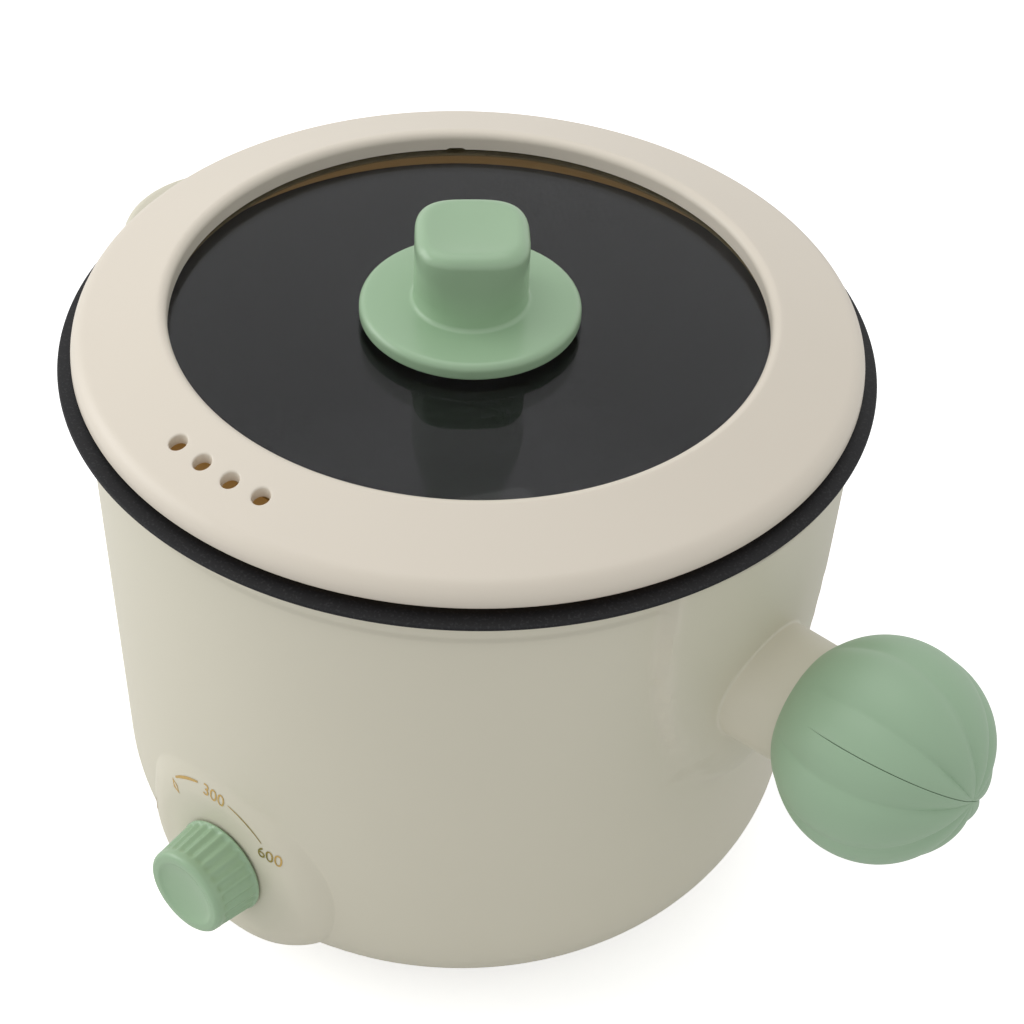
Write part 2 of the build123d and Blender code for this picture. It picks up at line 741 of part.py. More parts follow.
# ---- power inlet ---------------------------------------------------------------------
socket_floor = inlet_flange_thickness - socket_depth
pin_places = [(-inlet_pin_pitch, 0), (0, -earth_drop), (inlet_pin_pitch, 0)]
with BuildPart() as power_inlet:
    with BuildSketch(inlet_frame):
        RectangleRounded(inlet_flange_width, inlet_flange_height, inlet_field_corner / 2)
    extrude(amount=inlet_flange_thickness)
    with BuildSketch(inlet_frame):
        Rectangle(inlet_body_width, inlet_body_height)
    extrude(amount=-inlet_depth)
    with BuildSketch(inlet_frame.offset(socket_floor)) as socket_outline:
        Rectangle(socket_width, socket_height)
        chamfer(socket_outline.vertices().group_by(Axis.Y)[-1], socket_chamfer)
    extrude(amount=socket_depth, mode=Mode.SUBTRACT)
    with BuildSketch(inlet_frame.offset(-inlet_depth)):
        with Locations(*pin_places):
            Rectangle(inlet_pin_width + 2 * thread_play, inlet_pin_height + 2 * thread_play)
    extrude(amount=inlet_depth + socket_floor, mode=Mode.SUBTRACT)
write(power_inlet.part, "power_inlet")

pin_front = inlet_flange_thickness - inlet_pin_front
with BuildPart() as inlet_pins:
    with BuildSketch(inlet_frame.offset(pin_front)):
        with Locations(*pin_places):
            Rectangle(inlet_pin_width, inlet_pin_height)
    extrude(amount=-(pin_front + inlet_depth + inlet_tail))
write(inlet_pins.part, "inlet_pins")

# ---- ball handle ---------------------------------------------------------------------
collar_start = neck_end + core_length - core_collar_width
with BuildPart() as handle_core:
    with BuildSketch(handle_frame.offset(neck_end)):
        Circle(core_r)
    extrude(amount=core_length)
    with BuildSketch(handle_frame.offset(collar_start)):
        Circle(collar_r)
    extrude(amount=core_collar_width)
    with BuildSketch(handle_frame.offset(neck_end)):
        Circle(core_bolt_r + thread_play)
    extrude(amount=core_bolt_length - neck_wall + fit_gap, mode=Mode.SUBTRACT)
write(handle_core.part, "handle_core")

bolt_frame = handle_frame.offset(neck_end - neck_wall)
handle_bolt = screws([bolt_frame], core_bolt_head_r, core_bolt_head, core_bolt_r, core_bolt_length)
write(handle_bolt, "handle_bolt")

def ball_section(inset):
    """The half of the ball's outline on one side of the handle's axis, drawn inset."""
    half_plane = Plane(origin=ball_frame.origin, x_dir=ball_frame.x_dir, z_dir=-ball_frame.y_dir)
    half_length = sqrt((ball_arc_r - inset) ** 2 - ball_flat**2)
    with BuildSketch(half_plane) as outline:
        with BuildLine():
            ThreePointArc((0, -half_length), (ball_r - inset, 0), (0, half_length))
            Line((0, half_length), (0, -half_length))
        make_face()
    return outline.sketch


def ball_inside_r(along):
    """The shell's inner radius about the handle's axis, at a place along that axis."""
    return ball_flat + sqrt(ball_inner_arc_r**2 - (ball_reach - along) ** 2)


# The whole ball: a lobed shell with two ribs that hold the core's collar between them.
# Every crease is half a ring of triangular section, set off centre so that it gets
# shallower towards the poles.
crease_waist_r = ball_r - lobe_groove
crease_pole = sqrt(ball_arc_r**2 - ball_flat**2) - lobe_pole_depth
crease_r = (crease_waist_r + crease_pole**2 / crease_waist_r) / 2
crease_shift = crease_waist_r - crease_r
crease_section = [
    (crease_r, 0),
    (crease_r + 2 * lobe_groove, 2 * lobe_half_width),
    (crease_r + 2 * lobe_groove, -2 * lobe_half_width),
]
with BuildPart() as ball_shell:
    revolve(ball_section(0), axis=axis_of(ball_frame))
    for lobe in range(lobe_count):
        turn = radians(seam_tilt + (lobe + 0.5) * 360 / lobe_count)
        outward = Vector(0, -cos(turn), sin(turn))
        crease_frame = Plane(
            origin=ball_frame.origin + outward * crease_shift,
            x_dir=(1, 0, 0),
            z_dir=Vector(1, 0, 0).cross(outward),
        )
        revolve(
            section(crease_frame, crease_section),
            axis=axis_of(crease_frame),
            revolution_arc=180,
            mode=Mode.SUBTRACT,
        )
    revolve(ball_section(ball_wall), axis=axis_of(ball_frame), mode=Mode.SUBTRACT)
    near_rib = handle_frame.offset(collar_start - fit_gap)
    far_rib = handle_frame.offset(neck_end + core_length + fit_gap)
    with BuildSketch(near_rib):
        Circle(ball_inside_r(near_rib.origin.X) + fit_gap)
        Circle(core_r + fit_gap, mode=Mode.SUBTRACT)
    extrude(amount=-rib_width)
    with BuildSketch(far_rib):
        Circle(ball_inside_r(far_rib.origin.X) + fit_gap)
    extrude(amount=rib_width)
    with BuildSketch(handle_frame.offset(ball_reach - ball_r)):
        Circle(neck_tip_r + fit_gap)
    extrude(amount=near_rib.origin.X - rib_width - ball_reach + ball_r, mode=Mode.SUBTRACT)

peg_points = [(peg_reach, -peg_offset), (peg_reach, peg_offset)]
peg_ring_r = ball_inside_r(ball_reach + peg_reach)
peg_boss_length = sqrt(peg_ring_r**2 - (peg_offset + peg_boss_r) ** 2) + fit_gap
with BuildPart() as handle_ball_top:
    add(ball_shell.part)
    split(bisect_by=seam_plane, keep=Keep.TOP)
    with BuildSketch(seam_plane):
        with Locations(*peg_points):
            Circle(peg_boss_r)
    extrude(amount=peg_boss_length)
    with BuildSketch(seam_plane):
        with Locations(*peg_points):
            Circle(peg_r + thread_play)
    extrude(amount=peg_length + fit_gap, mode=Mode.SUBTRACT)
write(handle_ball_top.part, "handle_ball_top")

with BuildPart() as handle_ball_bottom:
    add(ball_shell.part)
    split(bisect_by=seam_plane, keep=Keep.BOTTOM)
    with BuildSketch(seam_plane):
        with Locations(*peg_points):
            Circle(peg_boss_r)
    extrude(amount=-peg_boss_length)
    with BuildSketch(seam_plane):
        with Locations(*peg_points):
            Circle(peg_r)
    extrude(amount=peg_length)
write(handle_ball_bottom.part, "handle_ball_bottom")

# ---- lid -----------------------------------------------------------------------------
lid_inner_r = lid_r - lid_wall
seal_top_z = glass_top_z + seal_wall
seal_outer_r = glass_r + seal_wall
keeper_outer_r = lid_inner_r - fit_gap
lid_cone_slope = (lid_lip_z - lid_shoulder_z) / (lid_r - lid_lip_r)


def lid_cone_z(r):
    return lid_shoulder_z + (lid_r - r) * lid_cone_slope


with BuildPart() as lid_ring:
    lid_section = [
        (lid_r, lid_edge_z),
        (lid_r, lid_shoulder_z),
        (lid_lip_r, lid_lip_z),
        (lid_lip_r, nose_z),
        (lid_lip_r + lip_nose, nose_z),
        (lid_lip_r + lip_nose, seal_top_z),
        (seal_outer_r, seal_top_z),
        (lid_inner_r, lid_cone_z(lid_inner_r) - lid_wall),
        (lid_inner_r, lid_edge_z),
    ]
    lid_rounds = [
        (lid_section[1], lid_shoulder_r),
        (lid_section[2], lip_round),
        (lid_section[7], lid_shoulder_r - lid_wall),
    ]
    revolve(section(pot_frame, lid_section, lid_rounds), axis=Axis.Z)
    lid_boss_base = Plane.XY.offset(keeper_top_z)
    with BuildSketch(lid_boss_base):
        with PolarLocations(lid_screw_ring_r, lid_screw_count, start_angle=lid_screw_start):
            Circle(lid_boss_r)
    extrude(amount=lid_cone_z(lid_screw_ring_r) - lid_wall / 2 - keeper_top_z)
    with BuildSketch(lid_boss_base):
        with PolarLocations(lid_screw_ring_r, lid_screw_count, start_angle=lid_screw_start):
            Circle(lid_screw_r + thread_play)
    extrude(amount=lid_screw_length - keeper_plate + fit_gap, mode=Mode.SUBTRACT)
    vent_start = vent_centre_deg - vent_pitch_deg * (vent_count - 1) / 2
    with BuildSketch(Plane.XY.offset(keeper_top_z)):
        with PolarLocations(vent_ring_r, vent_count, vent_start, vent_pitch_deg * vent_count):
            Circle(vent_hole_r)
    extrude(amount=lid_lip_z - keeper_top_z, mode=Mode.SUBTRACT)
write(lid_ring.part, "lid_ring")

keeper_foot_z = seat_z + lid_seat_gap
with BuildPart() as lid_keeper:
    keeper_section = [
        (keeper_inner_r, keeper_z),
        (rib_outer_r - rib_thickness, keeper_z),
        (rib_outer_r - rib_thickness, keeper_z - rib_depth),
        (rib_outer_r, keeper_z - rib_depth),
        (rib_outer_r, keeper_z),
        (keeper_outer_r - keeper_foot_width, keeper_z),
        (keeper_outer_r - keeper_foot_width, keeper_foot_z),
        (keeper_outer_r, keeper_foot_z),
        (keeper_outer_r, keeper_top_z),
        (keeper_inner_r, keeper_top_z),
    ]
    keeper_rounds = [
        (keeper_section[2], rib_thickness * 0.4),
        (keeper_section[3], rib_thickness * 0.4),
        (keeper_section[0], keeper_plate * 0.4),
    ]
    revolve(section(pot_frame, keeper_section, keeper_rounds), axis=Axis.Z)
    with BuildSketch(Plane.XY.offset(keeper_z)):
        with PolarLocations(lid_screw_ring_r, lid_screw_count, start_angle=lid_screw_start):
            Circle(lid_screw_r + fit_gap)
        with PolarLocations(keeper_vent_ring_r, vent_count, vent_start, vent_pitch_deg * vent_count):
            Circle(keeper_vent_r)
    extrude(amount=keeper_plate, mode=Mode.SUBTRACT)
write(lid_keeper.part, "lid_keeper")

with BuildPart() as lid_glass:
    with BuildSketch(Plane.XY.offset(glass_z)):
        Circle(glass_r)
        Circle(glass_hole_r, mode=Mode.SUBTRACT)
    extrude(amount=glass_thickness)
    glass_rim = lid_glass.edges().filter_by(GeomType.CIRCLE).group_by(SortBy.RADIUS)[-1]
    fillet(glass_rim, glass_thickness / 4)
write(lid_glass.part, "lid_glass")

with BuildPart() as lid_seal:
    seal_lip_r = lid_lip_r + lip_nose + thread_play
    seal_section = [
        (seal_lip_r, glass_top_z),
        (glass_r + thread_play, glass_top_z),
        (glass_r + thread_play, glass_z),
        (seal_lip_r, glass_z),
        (seal_lip_r, keeper_top_z),
        (seal_outer_r, keeper_top_z),
        (seal_outer_r, seal_top_z),
        (seal_lip_r, seal_top_z),
    ]
    revolve(section(pot_frame, seal_section), axis=Axis.Z)
write(lid_seal.part, "lid_seal")

with PolarLocations(lid_screw_ring_r, lid_screw_count, start_angle=lid_screw_start) as places:
    lid_screw_frames = [Plane(place).offset(keeper_z) for place in places]
lid_screws = screws(lid_screw_frames, lid_screw_head_r, lid_screw_head, lid_screw_r, lid_screw_length)
write(lid_screws, "lid_screws")

# ---- lid knob ------------------------------------------------------------------------
knob_top_z = knob_z + knob_height
stem_z = knob_z + knob_edge + knob_crown
knob_dish_r = stem_width / 2 - stem_round
knob_dish_sphere_r = (knob_dish_r**2 + knob_dish**2) / (2 * knob_dish)
knob_hollow_r = stem_r - knob_wall
knob_roof_z = knob_top_z - knob_dish - knob_wall
top_plane = Plane.XY.offset(knob_top_z).rotated((0, 0, knob_turn))
with BuildPart() as lid_knob:
    with BuildSketch(Plane.XY.offset(stem_z)):
        Circle(stem_r)
    with BuildSketch(top_plane):
        RectangleRounded(stem_width, stem_width, stem_corner_r)
    loft()
    fillet(lid_knob.faces().sort_by(Axis.Z)[-1].edges(), stem_round)
    flange_section = [
        (0, knob_z),
        (knob_flange_r, knob_z),
        (knob_flange_r, knob_z + knob_edge),
        (stem_r, stem_z),
        (0, stem_z),
    ]
    flange_rounds = [(flange_section[2], knob_edge_round), (flange_section[1], knob_foot_round)]
    revolve(section(pot_frame, flange_section, flange_rounds), axis=Axis.Z)
    with Locations((0, 0, knob_top_z - knob_dish + knob_dish_sphere_r)):
        Sphere(knob_dish_sphere_r, mode=Mode.SUBTRACT)
    with BuildSketch(Plane.XY.offset(knob_z)):
        Circle(knob_hollow_r)
        Circle(knob_boss_r, mode=Mode.SUBTRACT)
    extrude(amount=knob_roof_z - knob_z, mode=Mode.SUBTRACT)
    with BuildSketch(Plane.XY.offset(knob_z)):
        Circle(knob_screw_r + thread_play)
    extrude(amount=knob_thread, mode=Mode.SUBTRACT)
write(lid_knob.part, "lid_knob")

with BuildPart() as knob_gasket:
    with BuildSketch(Plane.XY.offset(glass_top_z)):
        Circle(gasket_r)
        Circle(glass_hole_r, mode=Mode.SUBTRACT)
    extrude(amount=knob_gap)
write(knob_gasket.part, "knob_gasket")

with BuildPart() as knob_washer:
    with BuildSketch(Plane.XY.offset(glass_z - washer_thickness)):
        Circle(washer_r)
        Circle(glass_hole_r, mode=Mode.SUBTRACT)
    extrude(amount=washer_thickness)
write(knob_washer.part, "knob_washer")

knob_screw_frame = Plane.XY.offset(glass_z - washer_thickness)
knob_screw_length = knob_z + knob_thread - 2 * fit_gap - knob_screw_frame.origin.Z
knob_screw = screws(
    [knob_screw_frame], knob_screw_head_r, knob_screw_head, knob_screw_r, knob_screw_length
)
write(knob_screw, "knob_screw")

# ---- inner wires ---------------------------------------------------------------------
inlet_tail_y = inlet_reach - inlet_depth - inlet_tail
switch_tab_y = -boss_reach - switch_back + tab_length
element_tail_z = element_z - element_tail
element_end_x, element_end_y = element_ends[1]
sensor_tab_z = plate_z - thermostat_height - tab_length
sensor_tab_x = tab_pitch / 2
lead_out = 2.4 * wire_bend_r   # straight run before a wire's first bend


def wire(points):
    """A wire through the points, its corners rounded to the bend radius."""
    with BuildPart() as run:
        with BuildLine() as route:
            FilletPolyline(*points, radius=wire_bend_r)
        with BuildSketch(Plane(origin=route.line @ 0, z_dir=route.line % 0)):
            Circle(wire_r)
        sweep(path=route.line)
    return run.part


side_x = tie_boss_r + wire_bend_r   # the long runs pass beside the columns
floor_y = tie_ring_r + 5 * wire_bend_r
wires = {
    "wire_live": [
        (inlet_pin_pitch, inlet_tail_y, inlet_z),
        (inlet_pin_pitch, inlet_tail_y - lead_out, inlet_z),
        (side_x, floor_y, wire_floor_z),
        (side_x, -floor_y, wire_floor_z),
        (tab_pitch, switch_tab_y + lead_out, dial_z),
        (tab_pitch, switch_tab_y, dial_z),
    ],
    "wire_switched": [
        (-tab_pitch, switch_tab_y, dial_z),
        (-tab_pitch, switch_tab_y + lead_out, dial_z),
        (-side_x, -floor_y, wire_floor_z),
        (-sensor_tab_x, 0, wire_floor_z),
        (-sensor_tab_x, 0, sensor_tab_z),
    ],
    "wire_heater": [
        (sensor_tab_x, 0, sensor_tab_z),
        (sensor_tab_x, 0, sensor_tab_z - lead_out),
        (element_end_x, element_end_y, sensor_tab_z - lead_out),
        (element_end_x, element_end_y, element_tail_z),
    ],
    "wire_neutral": [
        (-inlet_pin_pitch, inlet_tail_y, inlet_z),
        (-inlet_pin_pitch, inlet_tail_y - lead_out, inlet_z),
        (-element_end_x, element_end_y, element_tail_z - 2 * lead_out),
        (-element_end_x, element_end_y, element_tail_z),
    ],
    "wire_earth": [
        (0, inlet_tail_y, inlet_z - earth_drop),
        (0, inlet_tail_y - lead_out, inlet_z - earth_drop),
        (0, floor_y, shield_z - lead_out),
        (0, floor_y - lead_out, shield_z - lead_out),
        (0, floor_y - lead_out, shield_z),
    ],
}
for wire_name, wire_points in wires.items():
    write(wire(wire_points), wire_name)
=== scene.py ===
import math

import bmesh
import bpy
import numpy as np
from mathutils import Matrix, Vector


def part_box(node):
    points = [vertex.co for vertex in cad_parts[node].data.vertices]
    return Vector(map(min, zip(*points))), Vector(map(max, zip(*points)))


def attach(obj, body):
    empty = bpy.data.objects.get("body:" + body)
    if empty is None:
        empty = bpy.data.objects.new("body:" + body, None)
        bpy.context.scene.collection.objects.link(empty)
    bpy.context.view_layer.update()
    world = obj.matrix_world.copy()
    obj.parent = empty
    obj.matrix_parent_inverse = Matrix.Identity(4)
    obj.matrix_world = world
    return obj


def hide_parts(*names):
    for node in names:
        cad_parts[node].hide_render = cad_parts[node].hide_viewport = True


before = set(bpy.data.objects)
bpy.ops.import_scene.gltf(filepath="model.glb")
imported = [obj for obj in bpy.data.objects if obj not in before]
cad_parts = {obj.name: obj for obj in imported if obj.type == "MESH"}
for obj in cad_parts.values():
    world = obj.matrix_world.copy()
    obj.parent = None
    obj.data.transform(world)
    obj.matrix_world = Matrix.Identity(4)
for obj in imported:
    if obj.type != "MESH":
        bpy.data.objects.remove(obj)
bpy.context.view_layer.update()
print("frame loaded")

# Lengths below are in millimetres; meshes are made in metres.
mm = 0.001


# ---------- colours and shader node groups ----------

def screen(red, green, blue):  # a colour as it looks on screen, 0 to 255
    parts = [part / 255 for part in (red, green, blue)]
    parts = [p / 12.92 if p <= 0.04045 else ((p + 0.055) / 1.055) ** 2.4 for p in parts]
    return (*parts, 1.0)


def nodeOf(tree, kind, **settings):
    node = tree.nodes.new(kind)
    for name, value in settings.items():
        setattr(node, name, value)
    return node


def feed(tree, sockets, values):  # each value is another socket to link from, or a plain one
    for key, value in values.items():
        if isinstance(value, bpy.types.NodeSocket):
            tree.links.new(value, sockets[key])
        elif value is not None:
            sockets[key].default_value = value


def mathOf(tree, operation, first, second=None, third=None, clamp=False):
    node = nodeOf(tree, "ShaderNodeMath", operation=operation, use_clamp=clamp)
    feed(tree, node.inputs, {0: first, 1: second, 2: third})
    return node.outputs[0]


def noiseOf(tree, place, scale, detail=2.0):
    node = nodeOf(tree, "ShaderNodeTexNoise")
    feed(tree, node.inputs, {"Vector": place, "Scale": scale, "Detail": detail})
    return node.outputs["Fac"]


def driftOf(tree, noise, reach, middle, clamp=False):  # a value that wanders about its middle
    return mathOf(tree, "MULTIPLY_ADD", mathOf(tree, "SUBTRACT", noise, 0.5), reach, middle, clamp)


def smoothStep(tree, value, first, last):
    node = nodeOf(tree, "ShaderNodeMapRange", interpolation_type="SMOOTHSTEP")
    feed(tree, node.inputs, {"Value": value, "From Min": first, "From Max": last})
    return node.outputs["Result"]


def mixOf(tree, share, first, second):
    node = nodeOf(tree, "ShaderNodeMix", data_type="RGBA")
    feed(tree, node.inputs, {0: share, 6: first, 7: second})
    return node.outputs[2]


def shaded(tree, colour, value):  # a colour made lighter or darker
    node = nodeOf(tree, "ShaderNodeHueSaturation")
    feed(tree, node.inputs, {"Color": colour, "Value": value})
    return node.outputs["Color"]


def reliefOf(tree, height, strength, depth):
    node = nodeOf(tree, "ShaderNodeBump")
    feed(tree, node.inputs, {"Height": height, "Strength": strength, "Distance": depth * mm})
    return node.outputs["Normal"]


def newGroup(name, kind, inputs, outputs):
    tree = bpy.data.node_groups.new(name, kind)
    for label, socketType, value in inputs:
        socket = tree.interface.new_socket(name=label, in_out="INPUT", socket_type=socketType)
        if value is not None:
            socket.default_value = value
    for label, socketType in outputs:
        tree.interface.new_socket(name=label, in_out="OUTPUT", socket_type=socketType)
    return tree, tree.nodes.new("NodeGroupInput").outputs, tree.nodes.new("NodeGroupOutput").inputs


def newSkin(name, inputs):  # a shader group that gives a colour, a roughness and a relief
    kinds = {"Colour": "NodeSocketColor", "Roughness": "NodeSocketFloat", "Normal": "NodeSocketVector"}
    tree, given, out = newGroup(name, "ShaderNodeTree", inputs, kinds.items())
    return tree, given, out, nodeOf(tree, "ShaderNodeTexCoord").outputs["Object"]


# Moulded plastic: slow colour drift, a fine grain in the relief, uneven gloss.
def makeMouldedSkin():
    tree, given, out, place = newSkin(
        "mouldedSkin",
        [
            ("Colour", "NodeSocketColor", (0.8, 0.8, 0.8, 1)),
            ("Drift", "NodeSocketFloat", 0.04),
            ("Gloss", "NodeSocketFloat", 0.35),
            ("Grain Size", "NodeSocketFloat", 1400.0),
            ("Grain Depth", "NodeSocketFloat", 0.05),
            ("Dust", "NodeSocketFloat", 0.012),
        ],
    )
    smears = noiseOf(tree, place, 70.0, 4.0)
    dust = mathOf(tree, "SUBTRACT", smears, 0.62)
    dust = mathOf(tree, "MULTIPLY", dust, given["Dust"], clamp=True)
    value = driftOf(tree, noiseOf(tree, place, 14.0, 3.0), given["Drift"], 1.0)
    value = mathOf(tree, "SUBTRACT", value, dust)
    rough = driftOf(tree, smears, 0.05, given["Gloss"], clamp=True)
    grain = noiseOf(tree, place, given["Grain Size"])
    normal = reliefOf(tree, grain, given["Grain Depth"], 0.05)
    colour = shaded(tree, given["Colour"], value)
    feed(tree, out, {"Colour": colour, "Roughness": rough, "Normal": normal})
    return tree


# Sprayed non-stick coating: an orange-peel relief, pale mineral specks and a painted
# sheen, paler bands that stand in for light caught inside the pot. Each band of the
# painted sheen is where it begins, is full, begins to fade and ends: distances from the
# pot's axis and heights are in metres, patches are noise values.
paintedSheen = dict(
    wallFoot=(0.052, 0.062, 0.066, 0.079),
    patches=(0.36, 0.55, 2.0, 3.0),
    stepSlope=(0.0395, 0.041, 0.046, 0.0475),
    inside=(-2.0, -1.0, 0.146, 0.151),
    insideShare=0.45,
)


def makeSprayedCoat():
    tree, given, out, place = newSkin(
        "sprayedCoat",
        [
            ("Base", "NodeSocketColor", (0.02, 0.02, 0.02, 1)),
            ("Speck", "NodeSocketColor", (0.2, 0.2, 0.2, 1)),
            ("Speck Size", "NodeSocketFloat", 900.0),
            ("Speck Share", "NodeSocketFloat", 0.3),
            ("Gloss", "NodeSocketFloat", 0.35),
            ("Peel", "NodeSocketFloat", 0.5),
            # the colour and share of the painted sheen, which is painted light
            ("Painted Sheen", "NodeSocketColor", (0.1, 0.1, 0.1, 1)),
            ("Painted Sheen Share", "NodeSocketFloat", 0.5),
        ],
    )
    share = mathOf(tree, "SUBTRACT", noiseOf(tree, place, given["Speck Size"], 1.0), 0.56)
    share = mathOf(tree, "MULTIPLY", share, 8.0, clamp=True)
    share = mathOf(tree, "MULTIPLY", share, given["Speck Share"])
    speckled = mixOf(tree, share, given["Base"], given["Speck"])

    # the painted sheen: a broken band of painted highlight where the floor turns up into
    # the wall and a narrow painted highlight on the slope of the floor's step
    axes = nodeOf(tree, "ShaderNodeSeparateXYZ")
    tree.links.new(place, axes.inputs[0])
    squares = [mathOf(tree, "POWER", axes.outputs[side], 2.0) for side in ("X", "Y")]
    away = mathOf(tree, "SQRT", mathOf(tree, "ADD", *squares))

    def between(value, first, full, fading, last):
        left = mathOf(tree, "SUBTRACT", 1.0, smoothStep(tree, value, fading, last))
        return mathOf(tree, "MULTIPLY", smoothStep(tree, value, first, full), left)

    broken = between(noiseOf(tree, place, 16.0, 0.0), *paintedSheen["patches"])
    broad = mathOf(tree, "MULTIPLY", between(away, *paintedSheen["wallFoot"]), broken)
    narrow = between(away, *paintedSheen["stepSlope"])
    # painted light: inside the pot the whole coat is painted a little paler than on the rim
    deep = mathOf(tree, "MULTIPLY", between(axes.outputs["Z"], *paintedSheen["inside"]), paintedSheen["insideShare"])
    pale = mathOf(tree, "MAXIMUM", mathOf(tree, "MAXIMUM", broad, narrow), deep)
    pale = mathOf(tree, "MULTIPLY", pale, given["Painted Sheen Share"])
    colour = mixOf(tree, pale, speckled, given["Painted Sheen"])

    rough = driftOf(tree, noiseOf(tree, place, 18.0), 0.15, given["Gloss"], clamp=True)
    normal = reliefOf(tree, noiseOf(tree, place, 620.0), given["Peel"], 0.12)
    feed(tree, out, {"Colour": colour, "Roughness": rough, "Normal": normal})
    return tree


# Metal: streaks along one direction in the gloss and the relief, small stains.
def makeWorkedMetal():
    tree, given, out, place = newSkin(
        "workedMetal",
        [
            ("Colour", "NodeSocketColor", (0.6, 0.6, 0.6, 1)),
            ("Gloss", "NodeSocketFloat", 0.3),
            ("Streak", "NodeSocketFloat", 0.3),
            ("Stretch", "NodeSocketVector", (1, 1, 1)),
        ],
    )
    turn = nodeOf(tree, "ShaderNodeMapping")
    feed(tree, turn.inputs, {"Vector": place, "Scale": given["Stretch"]})
    streaks = noiseOf(tree, turn.outputs["Vector"], 700.0, 3.0)
    stained = driftOf(tree, noiseOf(tree, place, 60.0), 0.25, 1.0)
    rough = driftOf(tree, streaks, given["Streak"], given["Gloss"], clamp=True)
    normal = reliefOf(tree, streaks, 0.15, 0.04)
    colour = shaded(tree, given["Colour"], stained)
    feed(tree, out, {"Colour": colour, "Roughness": rough, "Normal": normal})
    return tree


mouldedSkin = makeMouldedSkin()
sprayedCoat = makeSprayedCoat()
workedMetal = makeWorkedMetal()


# One Principled shader fed by one of the groups; plain settings stay on its own sockets.
def finishOf(name, group, groupValues, **plain):
    material = bpy.data.materials.new(name)
    material.use_nodes = True
    tree = material.node_tree
    tree.nodes.clear()
    skin = nodeOf(tree, "ShaderNodeGroup", node_tree=group)
    for label, value in groupValues.items():
        skin.inputs[label].default_value = value
    shader = nodeOf(tree, "ShaderNodeBsdfPrincipled")
    for label, value in plain.items():
        shader.inputs[label.replace("_", " ")].default_value = value
    out = nodeOf(tree, "ShaderNodeOutputMaterial")
    feed(tree, shader.inputs, dict(zip(("Base Color", "Roughness", "Normal"), skin.outputs)))
    tree.links.new(shader.outputs["BSDF"], out.inputs["Surface"])
    return material


def plasticOf(name, colour, gloss, drift=0.04, grain=0.05, **plain):
    values = {"Colour": colour, "Gloss": gloss, "Drift": drift, "Grain Depth": grain}
    return finishOf(name, mouldedSkin, values, **plain)


def metalOf(name, colour, gloss, streak=0.2, stretch=(1, 1, 1)):
    values = {"Colour": colour, "Gloss": gloss, "Streak": streak, "Stretch": stretch}
    return finishOf(name, workedMetal, values, Metallic=1.0)


casingCream = plasticOf("casingCream", screen(218, 213, 194), 0.42, grain=0.08)
lidCream = plasticOf("lidCream", screen(225, 216, 201), 0.40, grain=0.08)
sageGloss = plasticOf("sageGloss", screen(156, 186, 152), 0.26, drift=0.03, grain=0.02)
sageSatin = plasticOf("sageSatin", screen(158, 187, 156), 0.44, drift=0.04, grain=0.12)
# Amber plastic with a painted glow: its faint emission stands in for light reaching the lid's keeper
# through the glass
amberPaintedGlow = plasticOf(
    "amberPaintedGlow", screen(196, 176, 128), 0.45, Emission_Color=screen(150, 112, 62), Emission_Strength=0.35
)
darkPlastic = plasticOf("darkPlastic", screen(38, 38, 39), 0.4, grain=0.2)
ceramicBody = plasticOf("ceramicBody", screen(214, 208, 196), 0.3)
siliconeSeal = plasticOf("siliconeSeal", screen(176, 158, 112), 0.5)
footRubber = plasticOf("footRubber", screen(70, 70, 70), 0.75, grain=0.4)
wireSleeve = plasticOf("wireSleeve", screen(208, 200, 184), 0.5)
goldPrint = metalOf("goldPrint", screen(214, 180, 112), 0.3, streak=0.3)
castAluminium = metalOf("castAluminium", screen(176, 176, 178), 0.5, streak=0.3)
sheetSteel = metalOf("sheetSteel", screen(190, 190, 190), 0.32, stretch=(0.05, 1, 1))
zincSteel = metalOf("zincSteel", screen(196, 196, 190), 0.28)
brightBrass = metalOf("brightBrass", screen(222, 186, 110), 0.25)

nonStick = finishOf(
    "nonStick",
    sprayedCoat,
    {
        "Base": screen(25, 25, 27),
        "Speck": screen(100, 100, 102),
        "Speck Size": 1600.0,
        "Speck Share": 0.10,
        "Gloss": 0.55,
        "Peel": 0.35,
        # painted sheen: the paler colour painted on as light caught inside the pot
        "Painted Sheen": screen(112, 113, 116),
        "Painted Sheen Share": 0.8,
    },
    Specular_IOR_Level=0.22,
)


def makeClearGlass():
    material = bpy.data.materials.new("clearGlass")
    material.use_nodes = True
    tree = material.node_tree
    smears = noiseOf(tree, nodeOf(tree, "ShaderNodeTexCoord").outputs["Object"], 30.0, 4.0)
    rough = mathOf(tree, "SUBTRACT", smears, 0.45)
    rough = mathOf(tree, "MULTIPLY", rough, 0.06, clamp=True)
    tint = mixOf(tree, smears, (0.62, 0.63, 0.65, 1), (0.66, 0.67, 0.69, 1))
    looks = {"Transmission Weight": 1.0, "IOR": 1.27, "Roughness": rough, "Base Color": tint}
    feed(tree, tree.nodes["Principled BSDF"].inputs, looks)
    return material


clearGlass = makeClearGlass()
print("materials made")


# ---------- mesh helpers ----------

